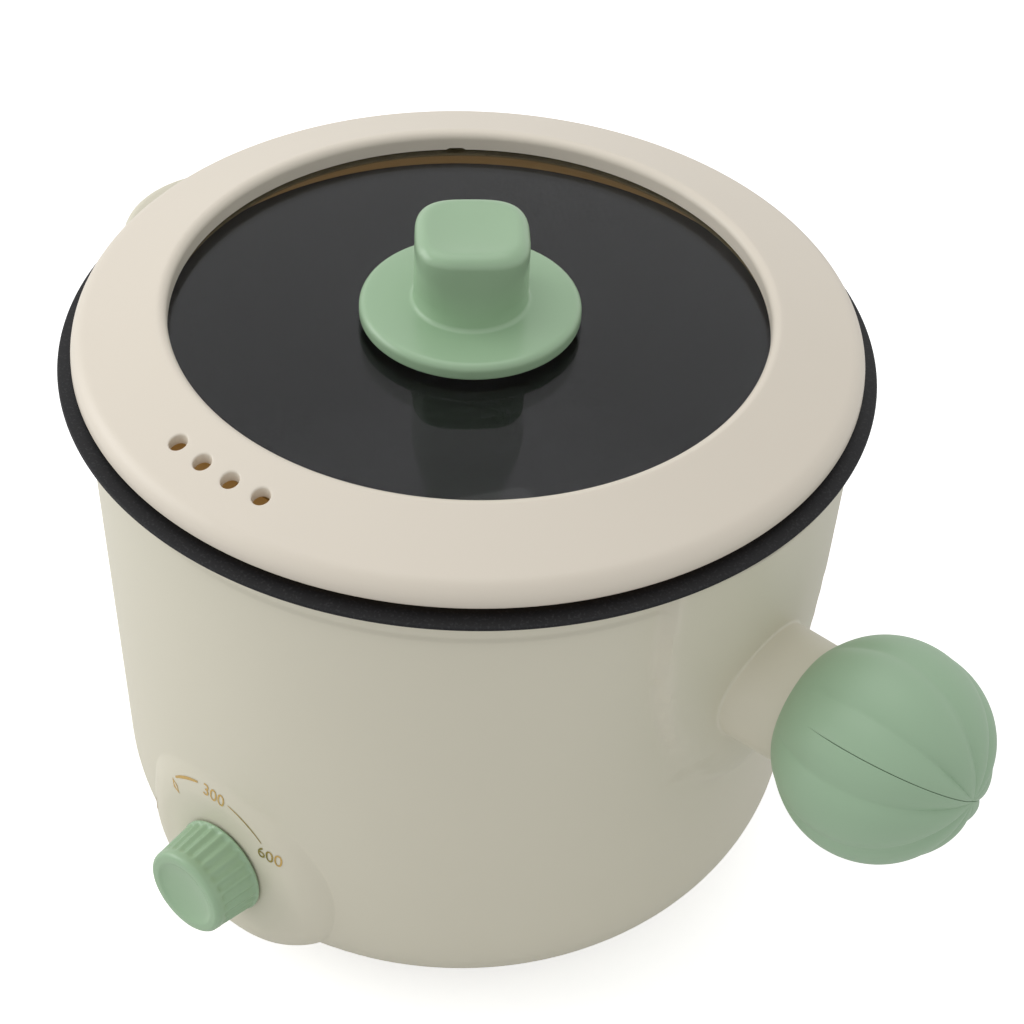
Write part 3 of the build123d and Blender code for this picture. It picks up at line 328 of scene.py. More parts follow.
# A path through corners (x, y, radius), with an arc at each corner that has a radius.
def roundedPath(corners, arcStep=9.0, lineStep=1e9, closed=False):
    spots = [np.array(corner[:2], float) for corner in corners]
    radii = [corner[2] if len(corner) > 2 else 0.0 for corner in corners]
    count = len(spots)
    path = []
    for i, spot in enumerate(spots):
        if radii[i] == 0 or (not closed and i in (0, count - 1)):
            path.append(spot)
            continue
        back = spots[i - 1] - spot
        ahead = spots[(i + 1) % count] - spot
        back /= np.linalg.norm(back)
        ahead /= np.linalg.norm(ahead)
        half = 0.5 * math.acos(np.clip(back @ ahead, -1, 1))
        middle = (back + ahead) / np.linalg.norm(back + ahead)
        centre = spot + middle * radii[i] / math.sin(half)
        start = spot + back * radii[i] / math.tan(half) - centre
        stop = spot + ahead * radii[i] / math.tan(half) - centre
        first = math.atan2(start[1], start[0])
        turn = (math.atan2(stop[1], stop[0]) - first + math.pi) % (2 * math.pi) - math.pi
        steps = max(2, math.ceil(abs(math.degrees(turn)) / arcStep))
        for k in range(steps + 1):
            angle = first + turn * k / steps
            path.append(centre + radii[i] * np.array([math.cos(angle), math.sin(angle)]))
    fine = []
    for i, spot in enumerate(path):
        fine.append(spot)
        if i == len(path) - 1 and not closed:
            break
        ahead = path[(i + 1) % len(path)]
        parts = math.ceil(np.linalg.norm(ahead - spot) / lineStep)
        fine += [spot + (ahead - spot) * k / parts for k in range(1, parts)]
    return np.array(fine)


def arcPath(centre, radius, first, last, steps):
    angles = np.radians(np.linspace(first, last, steps + 1))
    return np.stack([centre[0] + radius * np.cos(angles), centre[1] + radius * np.sin(angles)], 1)


# Faces of a grid whose columns run all the way round.
def ringFaces(rows, columns, closed=False, skip=()):
    faces = []
    for i in range(rows if closed else rows - 1):
        below = i * columns
        above = ((i + 1) % rows) * columns
        for j in range(columns):
            if (i, j) in skip:
                continue
            k = (j + 1) % columns
            faces.append((below + j, below + k, above + k, above + j))
    return faces


# A mesh object from points in millimetres, closed where its points meet, faces outwards.
def meshOf(name, points, faces, material, sharp=35.0, merge=0.002):
    mesh = bpy.data.meshes.new(name)
    mesh.from_pydata([tuple(p) for p in np.asarray(points) * mm], [], faces)
    shape = bmesh.new()
    shape.from_mesh(mesh)
    bmesh.ops.remove_doubles(shape, verts=shape.verts, dist=merge * mm)
    bmesh.ops.dissolve_degenerate(shape, edges=shape.edges, dist=merge * mm)
    bmesh.ops.recalc_face_normals(shape, faces=shape.faces)
    shape.to_mesh(mesh)
    shape.free()
    mesh.shade_smooth()
    mesh.set_sharp_from_angle(angle=math.radians(sharp))
    mesh.materials.append(material)
    piece = bpy.data.objects.new(name, mesh)
    bpy.context.scene.collection.objects.link(piece)
    return piece


# A turned shape about the pot's axis from a closed outline of (radius, height).
def turnedPiece(name, outline, columns, material, sharp=35.0, closed=True):
    angles = np.arange(columns) * 2 * math.pi / columns
    outline = np.asarray(outline, float)
    rim = np.stack([np.cos(angles), np.sin(angles)], 1)
    points = np.zeros((len(outline), columns, 3))
    points[:, :, :2] = outline[:, 0, None, None] * rim[None]
    points[:, :, 2] = outline[:, 1, None]
    faces = ringFaces(len(outline), columns, closed)
    return meshOf(name, points.reshape(-1, 3), faces, material, sharp)


# The corners of a window of grid cells, in order round it.
def windowLoop(columns, rows, cells):
    (low, high), (left, right) = rows, cells
    loop = [(low, j) for j in range(left, right)]
    loop += [(i, right) for i in range(low, high)]
    loop += [(high, j) for j in range(right, left, -1)]
    loop += [(i, left) for i in range(high, low, -1)]
    return [i * columns + j % columns for i, j in loop]


def windowCells(columns, rows, cells):
    return {(i, j % columns) for i in range(*rows) for j in range(*cells)}


def bridge(faces, first, second):  # a band of faces between two loops of as many points
    for k in range(len(first)):
        n = (k + 1) % len(first)
        faces.append((first[k], first[n], second[n], second[k]))


# Rings of points from a window's edge inwards; returns the last ring's indices.
def fillRings(points, faces, loop, rings):
    last = loop
    for ring in rings:
        here = range(len(points), len(points) + len(loop))
        points.extend(ring)
        bridge(faces, last, here)
        last = here
    return last


def closeRing(points, faces, ring):
    tip = len(points)
    points.append(np.mean([points[k] for k in ring], 0))
    for k in range(len(ring)):
        faces.append((ring[k], ring[(k + 1) % len(ring)], tip))


def placed(piece, body, slotName, *nodes):
    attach(piece, body)
    if nodes:
        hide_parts(*nodes)
    return piece


def millimetres(node):  # a CAD node's box, in millimetres
    low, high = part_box(node)
    return np.array(low) / mm, np.array(high) / mm


def smooth(value):
    value = np.clip(value, 0, 1)
    return value * value * (3 - 2 * value)


# ---------- casing ----------

casingLow, casingHigh = millimetres("outer_casing")
casing = dict(
    bottomZ=casingLow[2],
    topZ=casingHigh[2],
    topR=93.65,
    lean=0.049,            # the wall leans in going down
    wall=2.6,
    cornerR=35.9,
    holeR=46.0,
    ledge=4.0,
    ledgeDepth=1.5,
    topRound=0.8,
    collarHeight=7.0,
    collarStep=0.5,
    collarEase=1.6,        # height over which the collar's step fades in
    rowStep=2.2,
    columns=400,
)
handlePad = dict(
    halfWidth=32.3, curveZ=133.0, depth=62.0, proud=3.4, swell=1.3, swellWidth=26.0,
    soft=2.4, softLow=4.4, softFrom=100.0, softRun=25.0,
)
neck = dict(z=103.1, rootR=16.0, tipR=15.7, start=88.8, end=111.6, blend=0.8, reach=26.0)
boss = dict(
    z=40.8, face=88.75, r=31.4, round=11.4, melt=5.2, steep=6.0, seat=89.7, seatR=13.0, seatFade=8.0,
    reach=(38.0, 36.0), apron=3.4,
)
inlet = dict(z=41.0, face=89.2, width=40.0, height=32.0, corner=5.0, edge=0.8, reach=28.0)
inlet.update(holeWidth=27.8, holeHeight=20.0)


def wallRadius(z):
    return casing["topR"] - casing["lean"] * (casing["topZ"] - z)


# How far the field under the handle stands out at a place on the wall: a soft step
# at its edge and a slight swelling towards the neck.
def padLift(side, z):
    drop = np.clip((handlePad["curveZ"] - z) / handlePad["depth"], 0, 1.25)
    away = np.hypot(side / handlePad["halfWidth"], drop)
    grow = np.hypot(side / handlePad["halfWidth"] ** 2, drop / handlePad["depth"])
    reach = np.where(grow > 1e-6, away / np.maximum(grow, 1e-6), handlePad["halfWidth"])
    inside = (1 - away) * reach
    lower = smooth((handlePad["softFrom"] - z) / handlePad["softRun"])
    soft = handlePad["soft"] + handlePad["softLow"] * lower
    step = handlePad["proud"] * smooth(inside / soft + 0.5)
    return step + handlePad["swell"] * smooth(inside / handlePad["swellWidth"])


bottom = casing["bottomZ"]
collarZ = casing["topZ"] - casing["collarHeight"]
collarFoot = collarZ - casing["collarEase"] / 2
lowerWall = roundedPath(
    [
        (casing["holeR"], bottom + casing["ledgeDepth"]),
        (casing["holeR"] + casing["ledge"], bottom + casing["ledgeDepth"]),
        (casing["holeR"] + casing["ledge"], bottom),
        (wallRadius(bottom), bottom, casing["cornerR"]),
        (wallRadius(collarFoot), collarFoot),
    ],
    arcStep=4.0,
    lineStep=casing["rowStep"],
)
ledgeRows = 1 + int(np.argmax(lowerWall[:, 1] <= bottom + 0.01))
collarRows = [collarZ + rise for rise in (-0.4, 0, 0.3, 0.6, 0.9, 1.4, 2.5, 4.5)]
collarWall = np.array([(wallRadius(z), z) for z in collarRows])
topWall = roundedPath(
    [
        (wallRadius(casing["topZ"] - 1), casing["topZ"] - 1),
        (casing["topR"], casing["topZ"], casing["topRound"]),
        (casing["topR"] - casing["wall"], casing["topZ"]),
    ],
    arcStep=30.0,
)
outerPath = np.vstack([lowerWall, collarWall, topWall])
wallEnd = len(lowerWall) + len(collarWall)
wallRows = slice(ledgeRows, wallEnd)
wallZ = outerPath[wallRows, 1]
wallR = outerPath[wallRows, 0]


# The casing's outside radius at an azimuth and height, with the field and the collar.
def skinRadius(azimuth, z, plain):
    side = plain * np.sin(azimuth)
    facing = np.cos(azimuth) > 0
    pad = np.where(facing, padLift(side, z), 0.0)
    collar = casing["collarStep"] * smooth((z - collarZ) / casing["collarEase"] + 0.5)
    shown = 1 - smooth(pad / handlePad["proud"] * 3)
    return plain + pad - collar * shown


def skinHeight(side, z, handleSide=False):  # outside of the wall, along the axis that it faces
    plain = np.interp(z, wallZ, wallR)
    azimuth = np.arcsin(np.clip(side / plain, -1, 1))
    if not handleSide:
        azimuth = azimuth + math.pi
    radius = skinRadius(azimuth, z, plain)
    return np.sqrt(np.maximum(radius**2 - side**2, 0))


def windowAt(azimuth, z, reachSide, reachZ):
    step = 360 / casing["columns"]
    half = math.degrees(math.asin(reachSide / np.interp(z, wallZ, wallR)))
    middle = azimuth / step
    cells = (round(middle - half / step), round(middle + half / step))
    heights = outerPath[:, 1].copy()
    heights[:ledgeRows] = -1e3
    heights[wallEnd:] = 1e3
    rows = tuple(int(np.argmin(abs(heights - edge))) for edge in (z - reachZ, z + reachZ))
    return rows, cells


# Rings between a window's edge and a circle or other outline round the feature's axis.
def apronRings(edge, target, toWorld, height):
    rings = []
    for mix in (1 / 3, 2 / 3, 1.0):
        flat = edge * (1 - mix) + target * mix
        rings.append(toWorld(flat[:, 0], flat[:, 1], height(flat[:, 0], flat[:, 1])))
    return rings


def waysTo(flat):  # unit directions towards places in a plane
    turn = np.arctan2(flat[:, 1], flat[:, 0])
    return np.stack([np.cos(turn), np.sin(turn)], 1)


def bezier(first, middle, last, share):
    return first * (1 - share) ** 2 + 2 * middle * share * (1 - share) + last * share**2


def addNeck(points, faces, loop):
    edge = np.array([points[k] for k in loop])[:, 1:] - [0, neck["z"]]
    ways = waysTo(edge)
    across, up = ways.T

    def height(side, rise):
        return skinHeight(side, neck["z"] + rise, handleSide=True)

    def toWorld(side, rise, out):
        return np.stack([out, side, neck["z"] + rise], 1)

    taper = (neck["rootR"] - neck["tipR"]) / (neck["end"] - neck["start"])
    outR = neck["rootR"] + neck["blend"]
    rings = apronRings(edge, ways * outR, toWorld, height)
    footR = np.full(len(loop), outR)
    footOut = height(across * outR, up * outR)
    rootOut = height(across * neck["rootR"], up * neck["rootR"])
    shoulderOut = rootOut + neck["blend"]
    shoulderR = neck["rootR"] - taper * (shoulderOut - neck["start"])
    rootR = neck["rootR"] - taper * (rootOut - neck["start"])
    for share in np.linspace(0, 1, 11)[1:]:
        r = bezier(footR, rootR, shoulderR, share)
        out = bezier(footOut, rootOut, shoulderOut, share)
        rings.append(toWorld(across * r, up * r, out))
    for share in np.linspace(0, 1, 5)[1:]:
        out = shoulderOut + (neck["end"] - shoulderOut) * share
        r = neck["rootR"] - taper * (out - neck["start"])
        rings.append(toWorld(across * r, up * r, out))
    r = neck["tipR"] - 1.5
    rings.append(toWorld(across * r, up * r, np.full(len(loop), neck["end"])))
    closeRing(points, faces, fillRings(points, faces, loop, rings))


# The dial's boss as a height over the wall: a soft-edged drum that melts into the wall,
# with a shallow flat seat under the dial.
def bossHeight(side, rise):
    away = np.hypot(side, rise)
    over = np.clip((away - boss["r"] + boss["round"]) / boss["round"], 0, 1)
    drum = boss["face"] - boss["round"] * (1 - np.sqrt(1 - over**2))
    drum = drum - np.maximum(away - boss["r"], 0) * boss["steep"]
    wall = skinHeight(side, boss["z"] + rise)
    share = np.clip(0.5 + 0.5 * (drum - wall) / boss["melt"], 0, 1)
    height = wall * (1 - share) + drum * share + boss["melt"] * share * (1 - share)
    seat = 1 - smooth((away - boss["seatR"]) / boss["seatFade"])
    return height + (boss["seat"] - height) * seat


def addBoss(points, faces, loop):
    corners = np.array([points[k] for k in loop])
    edge = np.stack([corners[:, 0], corners[:, 2] - boss["z"]], 1)
    ways = waysTo(edge)

    def toWorld(side, rise, out):
        return np.stack([side, -out, boss["z"] + rise], 1)

    outerR = boss["r"] + boss["apron"]
    rings = apronRings(edge, ways * outerR, toWorld, bossHeight)
    # the rings lie closest where the drum's edge turns over
    steps = np.r_[
        np.arange(2.8, 1.4, -0.5), np.arange(1.3, -0.6, -0.22), np.arange(-0.9, -13.0, -0.6),
        np.arange(-13.6, -boss["r"] + 2, -1.6),
    ]
    for step in steps:
        flat = ways * (boss["r"] + step)
        rings.append(toWorld(*flat.T, bossHeight(*flat.T)))
    closeRing(points, faces, fillRings(points, faces, loop, rings))


# Distance from the middle of a rounded rectangle to its edge, along each direction.
def boxReach(ways, width, height, corner):
    across, up = np.abs(ways).T
    straight = np.minimum(width / 2 / np.maximum(across, 1e-9), height / 2 / np.maximum(up, 1e-9))
    inX, inY = width / 2 - corner, height / 2 - corner
    along = inX * across + inY * up
    rest = inX**2 + inY**2 - corner**2
    root = along**2 - rest
    rounded = along + np.sqrt(np.maximum(root, 0))
    atCorner = (straight * across > inX) & (straight * up > inY) & (root > 0)
    return np.where(atCorner, rounded, straight)


def addInlet(points, faces, outerLoop, innerLoop):
    corners = np.array([points[k] for k in outerLoop])
    edge = np.stack([-corners[:, 0], corners[:, 2] - inlet["z"]], 1)
    ways = waysTo(edge)

    def height(side, rise):
        return skinHeight(side, inlet["z"] + rise)

    def toWorld(side, rise, out):
        return np.stack([-side, out, inlet["z"] + rise], 1)

    fieldR = boxReach(ways, inlet["width"], inlet["height"], inlet["corner"])
    soft = inlet["edge"]
    target = ways * (fieldR + soft)[:, None]
    rings = apronRings(edge, target, toWorld, height)
    foot = height(*(ways * fieldR[:, None]).T)
    face = inlet["face"]
    for r, out in (
        (fieldR + 0.25 * soft, foot + 0.1 * soft),
        (fieldR, foot + 0.4 * soft),
        (fieldR, np.maximum(foot + 0.5 * soft, face - soft)),
        (fieldR - 0.1 * soft, face - 0.55 * soft + 0 * foot),
        (fieldR - 0.35 * soft, face - 0.15 * soft + 0 * foot),
        (fieldR - soft, face + 0 * foot),
    ):
        rings.append(toWorld(*(ways * r[:, None]).T, np.minimum(out, face)))
    holeR = boxReach(ways, inlet["holeWidth"], inlet["holeHeight"], 1.0)
    hole = ways * holeR[:, None]
    rings.append(toWorld(*hole.T, face + 0 * foot))
    inner = height(*hole.T) - casing["wall"]
    rings.append(toWorld(*hole.T, inner))
    bridge(faces, fillRings(points, faces, outerLoop, rings), innerLoop)


def makeCasing():
    columns = casing["columns"]
    rows = len(outerPath)
    azimuth = np.arange(columns) * 2 * math.pi / columns
    grid = np.zeros((rows, columns, 3))
    run = np.gradient(outerPath, axis=0)
    run /= np.linalg.norm(run, axis=1)[:, None]
    inward = np.stack([-run[:, 1], run[:, 0]], 1) * casing["wall"]
    innerPath = outerPath + inward
    floorZ = bottom + casing["ledgeDepth"] + casing["ledge"] / 2
    innerPath[:, 1] = np.clip(innerPath[:, 1], floorZ, casing["topZ"] - 0.3)
    innerPath[:ledgeRows, 1] = floorZ
    innerPath[:ledgeRows, 0] = casing["holeR"] + np.linspace(0, casing["ledge"], ledgeRows)
    lipRows = len(topWall) - 1
    innerPath[-lipRows:, 0] = casing["topR"] - casing["wall"]
    innerPath[-lipRows:, 1] = np.linspace(casing["topZ"] - 2.0, casing["topZ"] - 0.3, lipRows)
    inner = np.zeros((rows, columns, 3))
    for i in range(rows):
        r, z = outerPath[i]
        lifted = skinRadius(azimuth, z, r) if i >= ledgeRows + 1 else np.full(columns, r)
        if i > wallEnd:
            lifted = np.minimum(lifted, skinRadius(azimuth, casing["topZ"], r))
        grid[i] = np.stack([lifted * np.cos(azimuth), lifted * np.sin(azimuth), np.full(columns, z)], 1)
        r, z = innerPath[i]
        inner[i] = np.stack([r * np.cos(azimuth), r * np.sin(azimuth), np.full(columns, z)], 1)
    points = list(np.vstack([grid.reshape(-1, 3), inner.reshape(-1, 3)]))

    neckWindow = windowAt(0, neck["z"], neck["reach"], neck["reach"])
    bossWindow = windowAt(270, boss["z"], *boss["reach"])
    inletWindow = windowAt(90, inlet["z"], inlet["reach"], inlet["reach"] - 5)
    skip = set()
    for window in (neckWindow, bossWindow, inletWindow):
        skip |= windowCells(columns, *window)
    faces = ringFaces(rows, columns, skip=skip)
    shift = rows * columns
    innerFaces = ringFaces(rows, columns, skip=windowCells(columns, *inletWindow))
    faces += [tuple(shift + k for k in reversed(face)) for face in innerFaces]
    for start in (0, (rows - 1) * columns):
        ring = range(start, start + columns)
        bridge(faces, ring, [shift + k for k in ring])
    addNeck(points, faces, windowLoop(columns, *neckWindow))
    addBoss(points, faces, windowLoop(columns, *bossWindow))
    inletLoop = windowLoop(columns, *inletWindow)
    addInlet(points, faces, inletLoop, [shift + k for k in inletLoop])
    return meshOf("casingShell", points, faces, casingCream, sharp=50)


# Helper ear: a flat tongue, its edge rounded, flared a little where it leaves the wall.
# Its root ends inside the casing's wall.
ear = dict(
    centre=83.0, r=27.0, top=149.1, thickness=6.5, round=2.6, flare=4.0, flareFrom=58.0, flareRun=30.0,
    rootR=91.9, columns=64,
)


def makeEar():
    half = ear["thickness"] / 2
    middle = ear["top"] - half
    section = roundedPath(
        [(0, -half), (ear["r"], -half, ear["round"]), (ear["r"], half, ear["round"]), (0, half)],
        arcStep=12.0,
        lineStep=4.0,
    )
    angles = np.linspace(-math.pi / 2, math.pi / 2, ear["columns"] + 1)
    rows = []
    for r, h in section:
        atRoot = smooth((np.abs(np.degrees(angles)) - ear["flareFrom"]) / ear["flareRun"])
        flared = r + ear["flare"] * atRoot * r / ear["r"]
        across = flared * np.sin(angles)
        out = np.maximum(ear["centre"] + flared * np.cos(angles), np.sqrt(ear["rootR"] ** 2 - across**2))
        rows.append(np.stack([-out, across, np.full(len(angles), middle + h)], 1))
    points = [p for row in rows for p in row]
    wide = len(angles)
    faces = []
    for i in range(len(rows) - 1):
        for j in range(wide - 1):
            a = i * wide + j
            faces.append((a, a + 1, a + wide + 1, a + wide))
    # the back, inside the casing's wall: strips between the lower and the upper face
    last = len(rows) - 1
    for i in range(len(rows) // 2):
        strip = (i, i + 1, last - i - 1, last - i)
        faces.append(tuple(k * wide for k in reversed(strip)))
        faces.append(tuple(k * wide + wide - 1 for k in strip))
    return meshOf("helperEar", points, faces, casingCream, sharp=50)


placed(makeCasing(), "casing", "casing_cream", "outer_casing")
placed(makeEar(), "casing", "casing_cream")
print("casing made")


# ---------- pot ----------

potLow = millimetres("inner_pot")[0]
pot = dict(
    floorZ=potLow[2], wall=2.0, mouthR=86.0, lean=0.05, cornerR=24.0, mouthRound=3.0,
    flangeZ=151.2, rimR=99.75, edge=0.55, edgeZ=152.1, lipFrom=95.1,
    stepR=47.0, stepRun=7.0, stepRound=4.0, step=0.8, columns=288,
)


def potOutline():
    seat = pot["flangeZ"] + pot["wall"]
    floorR = pot["mouthR"] - pot["lean"] * (seat - pot["floorZ"])
    lowFloor = pot["floorZ"] + pot["wall"] - pot["step"]
    edgeAt = (pot["rimR"] - pot["edge"], pot["edgeZ"])
    slope = math.degrees(math.atan2(seat - pot["edgeZ"] - pot["edge"], edgeAt[0] - pot["lipFrom"]))
    outside = roundedPath(
        [
            (0, pot["floorZ"]),
            (floorR + pot["wall"], pot["floorZ"], pot["cornerR"]),
            (pot["mouthR"] + pot["wall"], pot["flangeZ"], 1.0),
            (edgeAt[0] - 1.5, pot["flangeZ"]),
        ],
        arcStep=6.0,
        lineStep=6.0,
    )
    inside = roundedPath(
        [
            (pot["lipFrom"], seat),
            (pot["mouthR"], seat, pot["mouthRound"]),
            (floorR, pot["floorZ"] + pot["wall"], pot["cornerR"] - pot["wall"]),
            (pot["stepR"], pot["floorZ"] + pot["wall"], pot["stepRound"]),
            (pot["stepR"] - pot["stepRun"], lowFloor, pot["stepRound"]),
            (0, lowFloor),
        ],
        arcStep=6.0,
        lineStep=6.0,
    )
    return np.vstack([outside, arcPath(edgeAt, pot["edge"], -90, 90 - slope, 20), inside])


potShell = turnedPiece("potShell", potOutline(), pot["columns"], nonStick, closed=False)
placed(potShell, "casing", "nonstick_coating", "inner_pot")
print("pot made")


# ---------- lid ----------

lid = dict(
    r=96.3, edgeZ=154.95, shoulderZ=160.2, shoulderR=5.0, lipR=72.85, lipZ=168.3, lipRound=2.0,
    wall=2.75, noseZ=162.5, nose=1.4, sealZ=163.0, sealR=78.7, edgeRound=0.7, columns=540,
    notchAt=134.0, notchHalf=1.7, notchRise=0.5,
)
vents = dict(ringR=84.3, r=2.2, soft=0.45, pitch=6.13, centre=-91.6, count=4, cells=4)


def lidConeZ(r):
    return lid["shoulderZ"] + (lid["r"] - r) * (lid["lipZ"] - lid["shoulderZ"]) / (lid["r"] - lid["lipR"])


# Another loop, started and if need be reversed so that its directions follow the given ones.
def matchedLoop(turn, otherTurn, otherLoop):
    forwards = np.arange(len(turn))
    best, bestFit = None, -math.inf
    for order in (forwards, forwards[::-1]):
        for shift in range(len(turn)):
            rolled = np.roll(order, shift)
            fit = np.sum(np.cos(turn - otherTurn[rolled]))
            if fit > bestFit:
                best, bestFit = rolled, fit
    return [otherLoop[n] for n in best]


# A round hole with a softened edge, between a window in the ring's top and one below it.
def addVent(points, faces, angle, topLoop, underLoop):
    centre = vents["ringR"] * np.array([math.cos(angle), math.sin(angle)])

    def edgeOf(loop):
        edge = np.array([points[n] for n in loop])[:, :2] - centre
        return edge, np.arctan2(edge[:, 1], edge[:, 0])

    def underCone(flat, sink):
        return np.column_stack([flat + centre, lidConeZ(np.hypot(*(flat + centre).T)) - sink])

    edge, turn = edgeOf(topLoop)
    ways = np.stack([np.cos(turn), np.sin(turn)], 1)
    rim = ways * (vents["r"] + vents["soft"])
    rings = [underCone(edge * (1 - mix) + rim * mix, 0) for mix in (0.5, 1.0)]
    for lean in (22, 45, 68, 90):
        inset = vents["soft"] * math.sin(math.radians(lean))
        sink = vents["soft"] * (1 - math.cos(math.radians(lean)))
        rings.append(underCone(ways * (vents["r"] + vents["soft"] - inset), sink))
    rings.append(underCone(ways * vents["r"], lid["wall"]))
    last = fillRings(points, faces, topLoop, rings)
    bridge(faces, last, matchedLoop(turn, edgeOf(underLoop)[1], underLoop))


def makeLidRing():
    columns = lid["columns"]
    innerR = lid["r"] - lid["wall"]
    rowStep = 0.98
    top = roundedPath(
        [
            (innerR, lid["edgeZ"]),
            (lid["r"], lid["edgeZ"], lid["edgeRound"]),
            (lid["r"], lid["shoulderZ"], lid["shoulderR"]),
            (lid["lipR"], lid["lipZ"], lid["lipRound"]),
            (lid["lipR"], lid["noseZ"]),
        ],
        arcStep=7.5,
        lineStep=rowStep,
    )
    under = roundedPath(
        [
            (lid["lipR"] + lid["nose"], lid["noseZ"]),
            (lid["lipR"] + lid["nose"], lid["sealZ"]),
            (lid["sealR"], lid["sealZ"]),
            (innerR, lidConeZ(innerR) - lid["wall"], lid["shoulderR"] - lid["wall"]),
            (innerR, lid["edgeZ"] + 0.8),
        ],
        arcStep=12.0,
        lineStep=rowStep,
    )
    outline = np.vstack([top, under])
    rows = len(outline)
    azimuth = np.arange(columns) * 2 * math.pi / columns
    grid = np.zeros((rows, columns, 3))
    grid[:, :, 0] = outline[:, 0, None] * np.cos(azimuth)
    grid[:, :, 1] = outline[:, 0, None] * np.sin(azimuth)
    grid[:, :, 2] = outline[:, 1, None]
    # a small notch in the lip's lower edge, at the back
    notch = np.abs(azimuth - math.radians(lid["notchAt"])) * lid["lipR"] < lid["notchHalf"]
    for row in (len(top) - 1, len(top)):
        grid[row, notch, 2] += lid["notchRise"]
    points = list(grid.reshape(-1, 3))

    onTop = np.where(np.arange(rows) < len(top), outline[:, 0], 0)
    onTop[outline[:, 1] < lidConeZ(vents["ringR"]) - 3] = 0
    topRow = int(np.argmin(abs(onTop - vents["ringR"])))
    onUnder = np.where(np.arange(rows) >= len(top), outline[:, 0], 0)
    underRow = int(np.argmin(abs(onUnder - vents["ringR"])))
    reach = vents["cells"]
    topRows = (topRow - reach, topRow + reach)
    underRows = (underRow - reach, underRow + reach)
    skip, windows = set(), []
    for k in range(vents["count"]):
        angle = vents["centre"] + (k - (vents["count"] - 1) / 2) * vents["pitch"]
        middle = round(angle % 360 / 360 * columns)
        cells = (middle - reach, middle + reach)
        windows.append((math.radians(angle), cells))
        skip |= windowCells(columns, topRows, cells) | windowCells(columns, underRows, cells)
    faces = ringFaces(rows, columns, closed=True, skip=skip)

    for angle, cells in windows:
        topLoop = windowLoop(columns, topRows, cells)
        underLoop = windowLoop(columns, underRows, cells)
        addVent(points, faces, angle, topLoop, underLoop)
    return meshOf("lidRing", points, faces, lidCream, sharp=40)


placed(makeLidRing(), "lid", "lid_cream", "lid_ring")

keeperLow, keeperHigh = millimetres("lid_keeper")
keeper = dict(innerR=75.5, plate=1.7, footWidth=2.8, footZ=153.5, ribR=85.0, ribWidth=2.0)


def keeperOutline():
    under = keeperHigh[2] - keeper["plate"]
    outerR = keeperHigh[0]
    return roundedPath(
        [
            (keeper["innerR"], under, 0.7),
            (keeper["ribR"] - keeper["ribWidth"], under, 0.5),
            (keeper["ribR"] - keeper["ribWidth"], keeperLow[2], 0.7),
            (keeper["ribR"], keeperLow[2], 0.7),
            (keeper["ribR"], under, 0.5),
            (outerR - keeper["footWidth"], under, 0.5),
            (outerR - keeper["footWidth"], keeper["footZ"], 0.6),
            (outerR, keeper["footZ"], 0.6),
            (outerR, keeperHigh[2], 0.4),
            (keeper["innerR"], keeperHigh[2], 0.5),
        ],
        arcStep=22.5,
        closed=True,
    )


# the keeper wears the amber plastic with its painted glow, emission in place of light
lidKeeper = turnedPiece("lidKeeper", keeperOutline(), 240, amberPaintedGlow)
placed(lidKeeper, "lid", "amber_plastic", "lid_keeper")

glassLow, glassHigh = millimetres("lid_glass")
glass = dict(r=glassHigh[0], holeR=2.6, edge=1.0)
lidGlass = turnedPiece(
    "lidGlass",
    roundedPath(
        [
            (glass["holeR"], glassLow[2], 0.3),
            (glass["r"], glassLow[2], glass["edge"]),
            (glass["r"], glassHigh[2], glass["edge"]),
            (glass["holeR"], glassHigh[2], 0.3),
        ],
        arcStep=15,
        closed=True,
    ),
    240,
    clearGlass,
    sharp=60,
)
placed(lidGlass, "lid", "lid_glass", "lid_glass")

sealLow, sealHigh = millimetres("lid_seal")
seal = dict(lipR=74.3, wall=0.7, gap=0.05)
lidSeal = turnedPiece(
    "lidSeal",
    roundedPath(
        [
            (seal["lipR"], sealLow[2], 0.2),
            (sealHigh[0], sealLow[2], 0.5),
            (sealHigh[0], sealHigh[2], 0.5),
            (seal["lipR"], sealHigh[2], 0.2),
            (seal["lipR"], sealHigh[2] - seal["wall"] + seal["gap"], 0.2),
            (glass["r"] + seal["gap"], sealHigh[2] - seal["wall"] + seal["gap"], 0.8),
            (glass["r"] + seal["gap"], sealLow[2] + seal["wall"] - seal["gap"], 0.8),
            (seal["lipR"], sealLow[2] + seal["wall"] - seal["gap"], 0.2),
        ],
        arcStep=30,
        closed=True,
    ),
    240,
    siliconeSeal,
)
placed(lidSeal, "lid", "silicone", "lid_seal")
print("lid made")


# ---------- lid knob ----------

knobLow, knobHigh = millimetres("lid_knob")
knob = dict(
    flangeR=26.9, edge=4.1, edgeRound=1.9, crown=0.5, stemR=13.9, foot=1.2, topHalf=13.7,
    squareness=3.25, turn=43.0, topRound=3.0, dish=0.7, wall=3.2,
    straight=4.0, narrowing=0.995, bossR=4.5, boreR=2.0, boreDepth=11.0, columns=192,
)


# A round outline that becomes a squared one as the power grows from 2.
def squaredRing(halfWidth, power, turn, columns):
    angle = np.arange(columns) * 2 * math.pi / columns
    local = angle - math.radians(turn)
    reach = (np.abs(np.cos(local)) ** power + np.abs(np.sin(local)) ** power) ** (-1 / power)
    return np.stack([halfWidth * reach * np.cos(angle), halfWidth * reach * np.sin(angle)], 1)


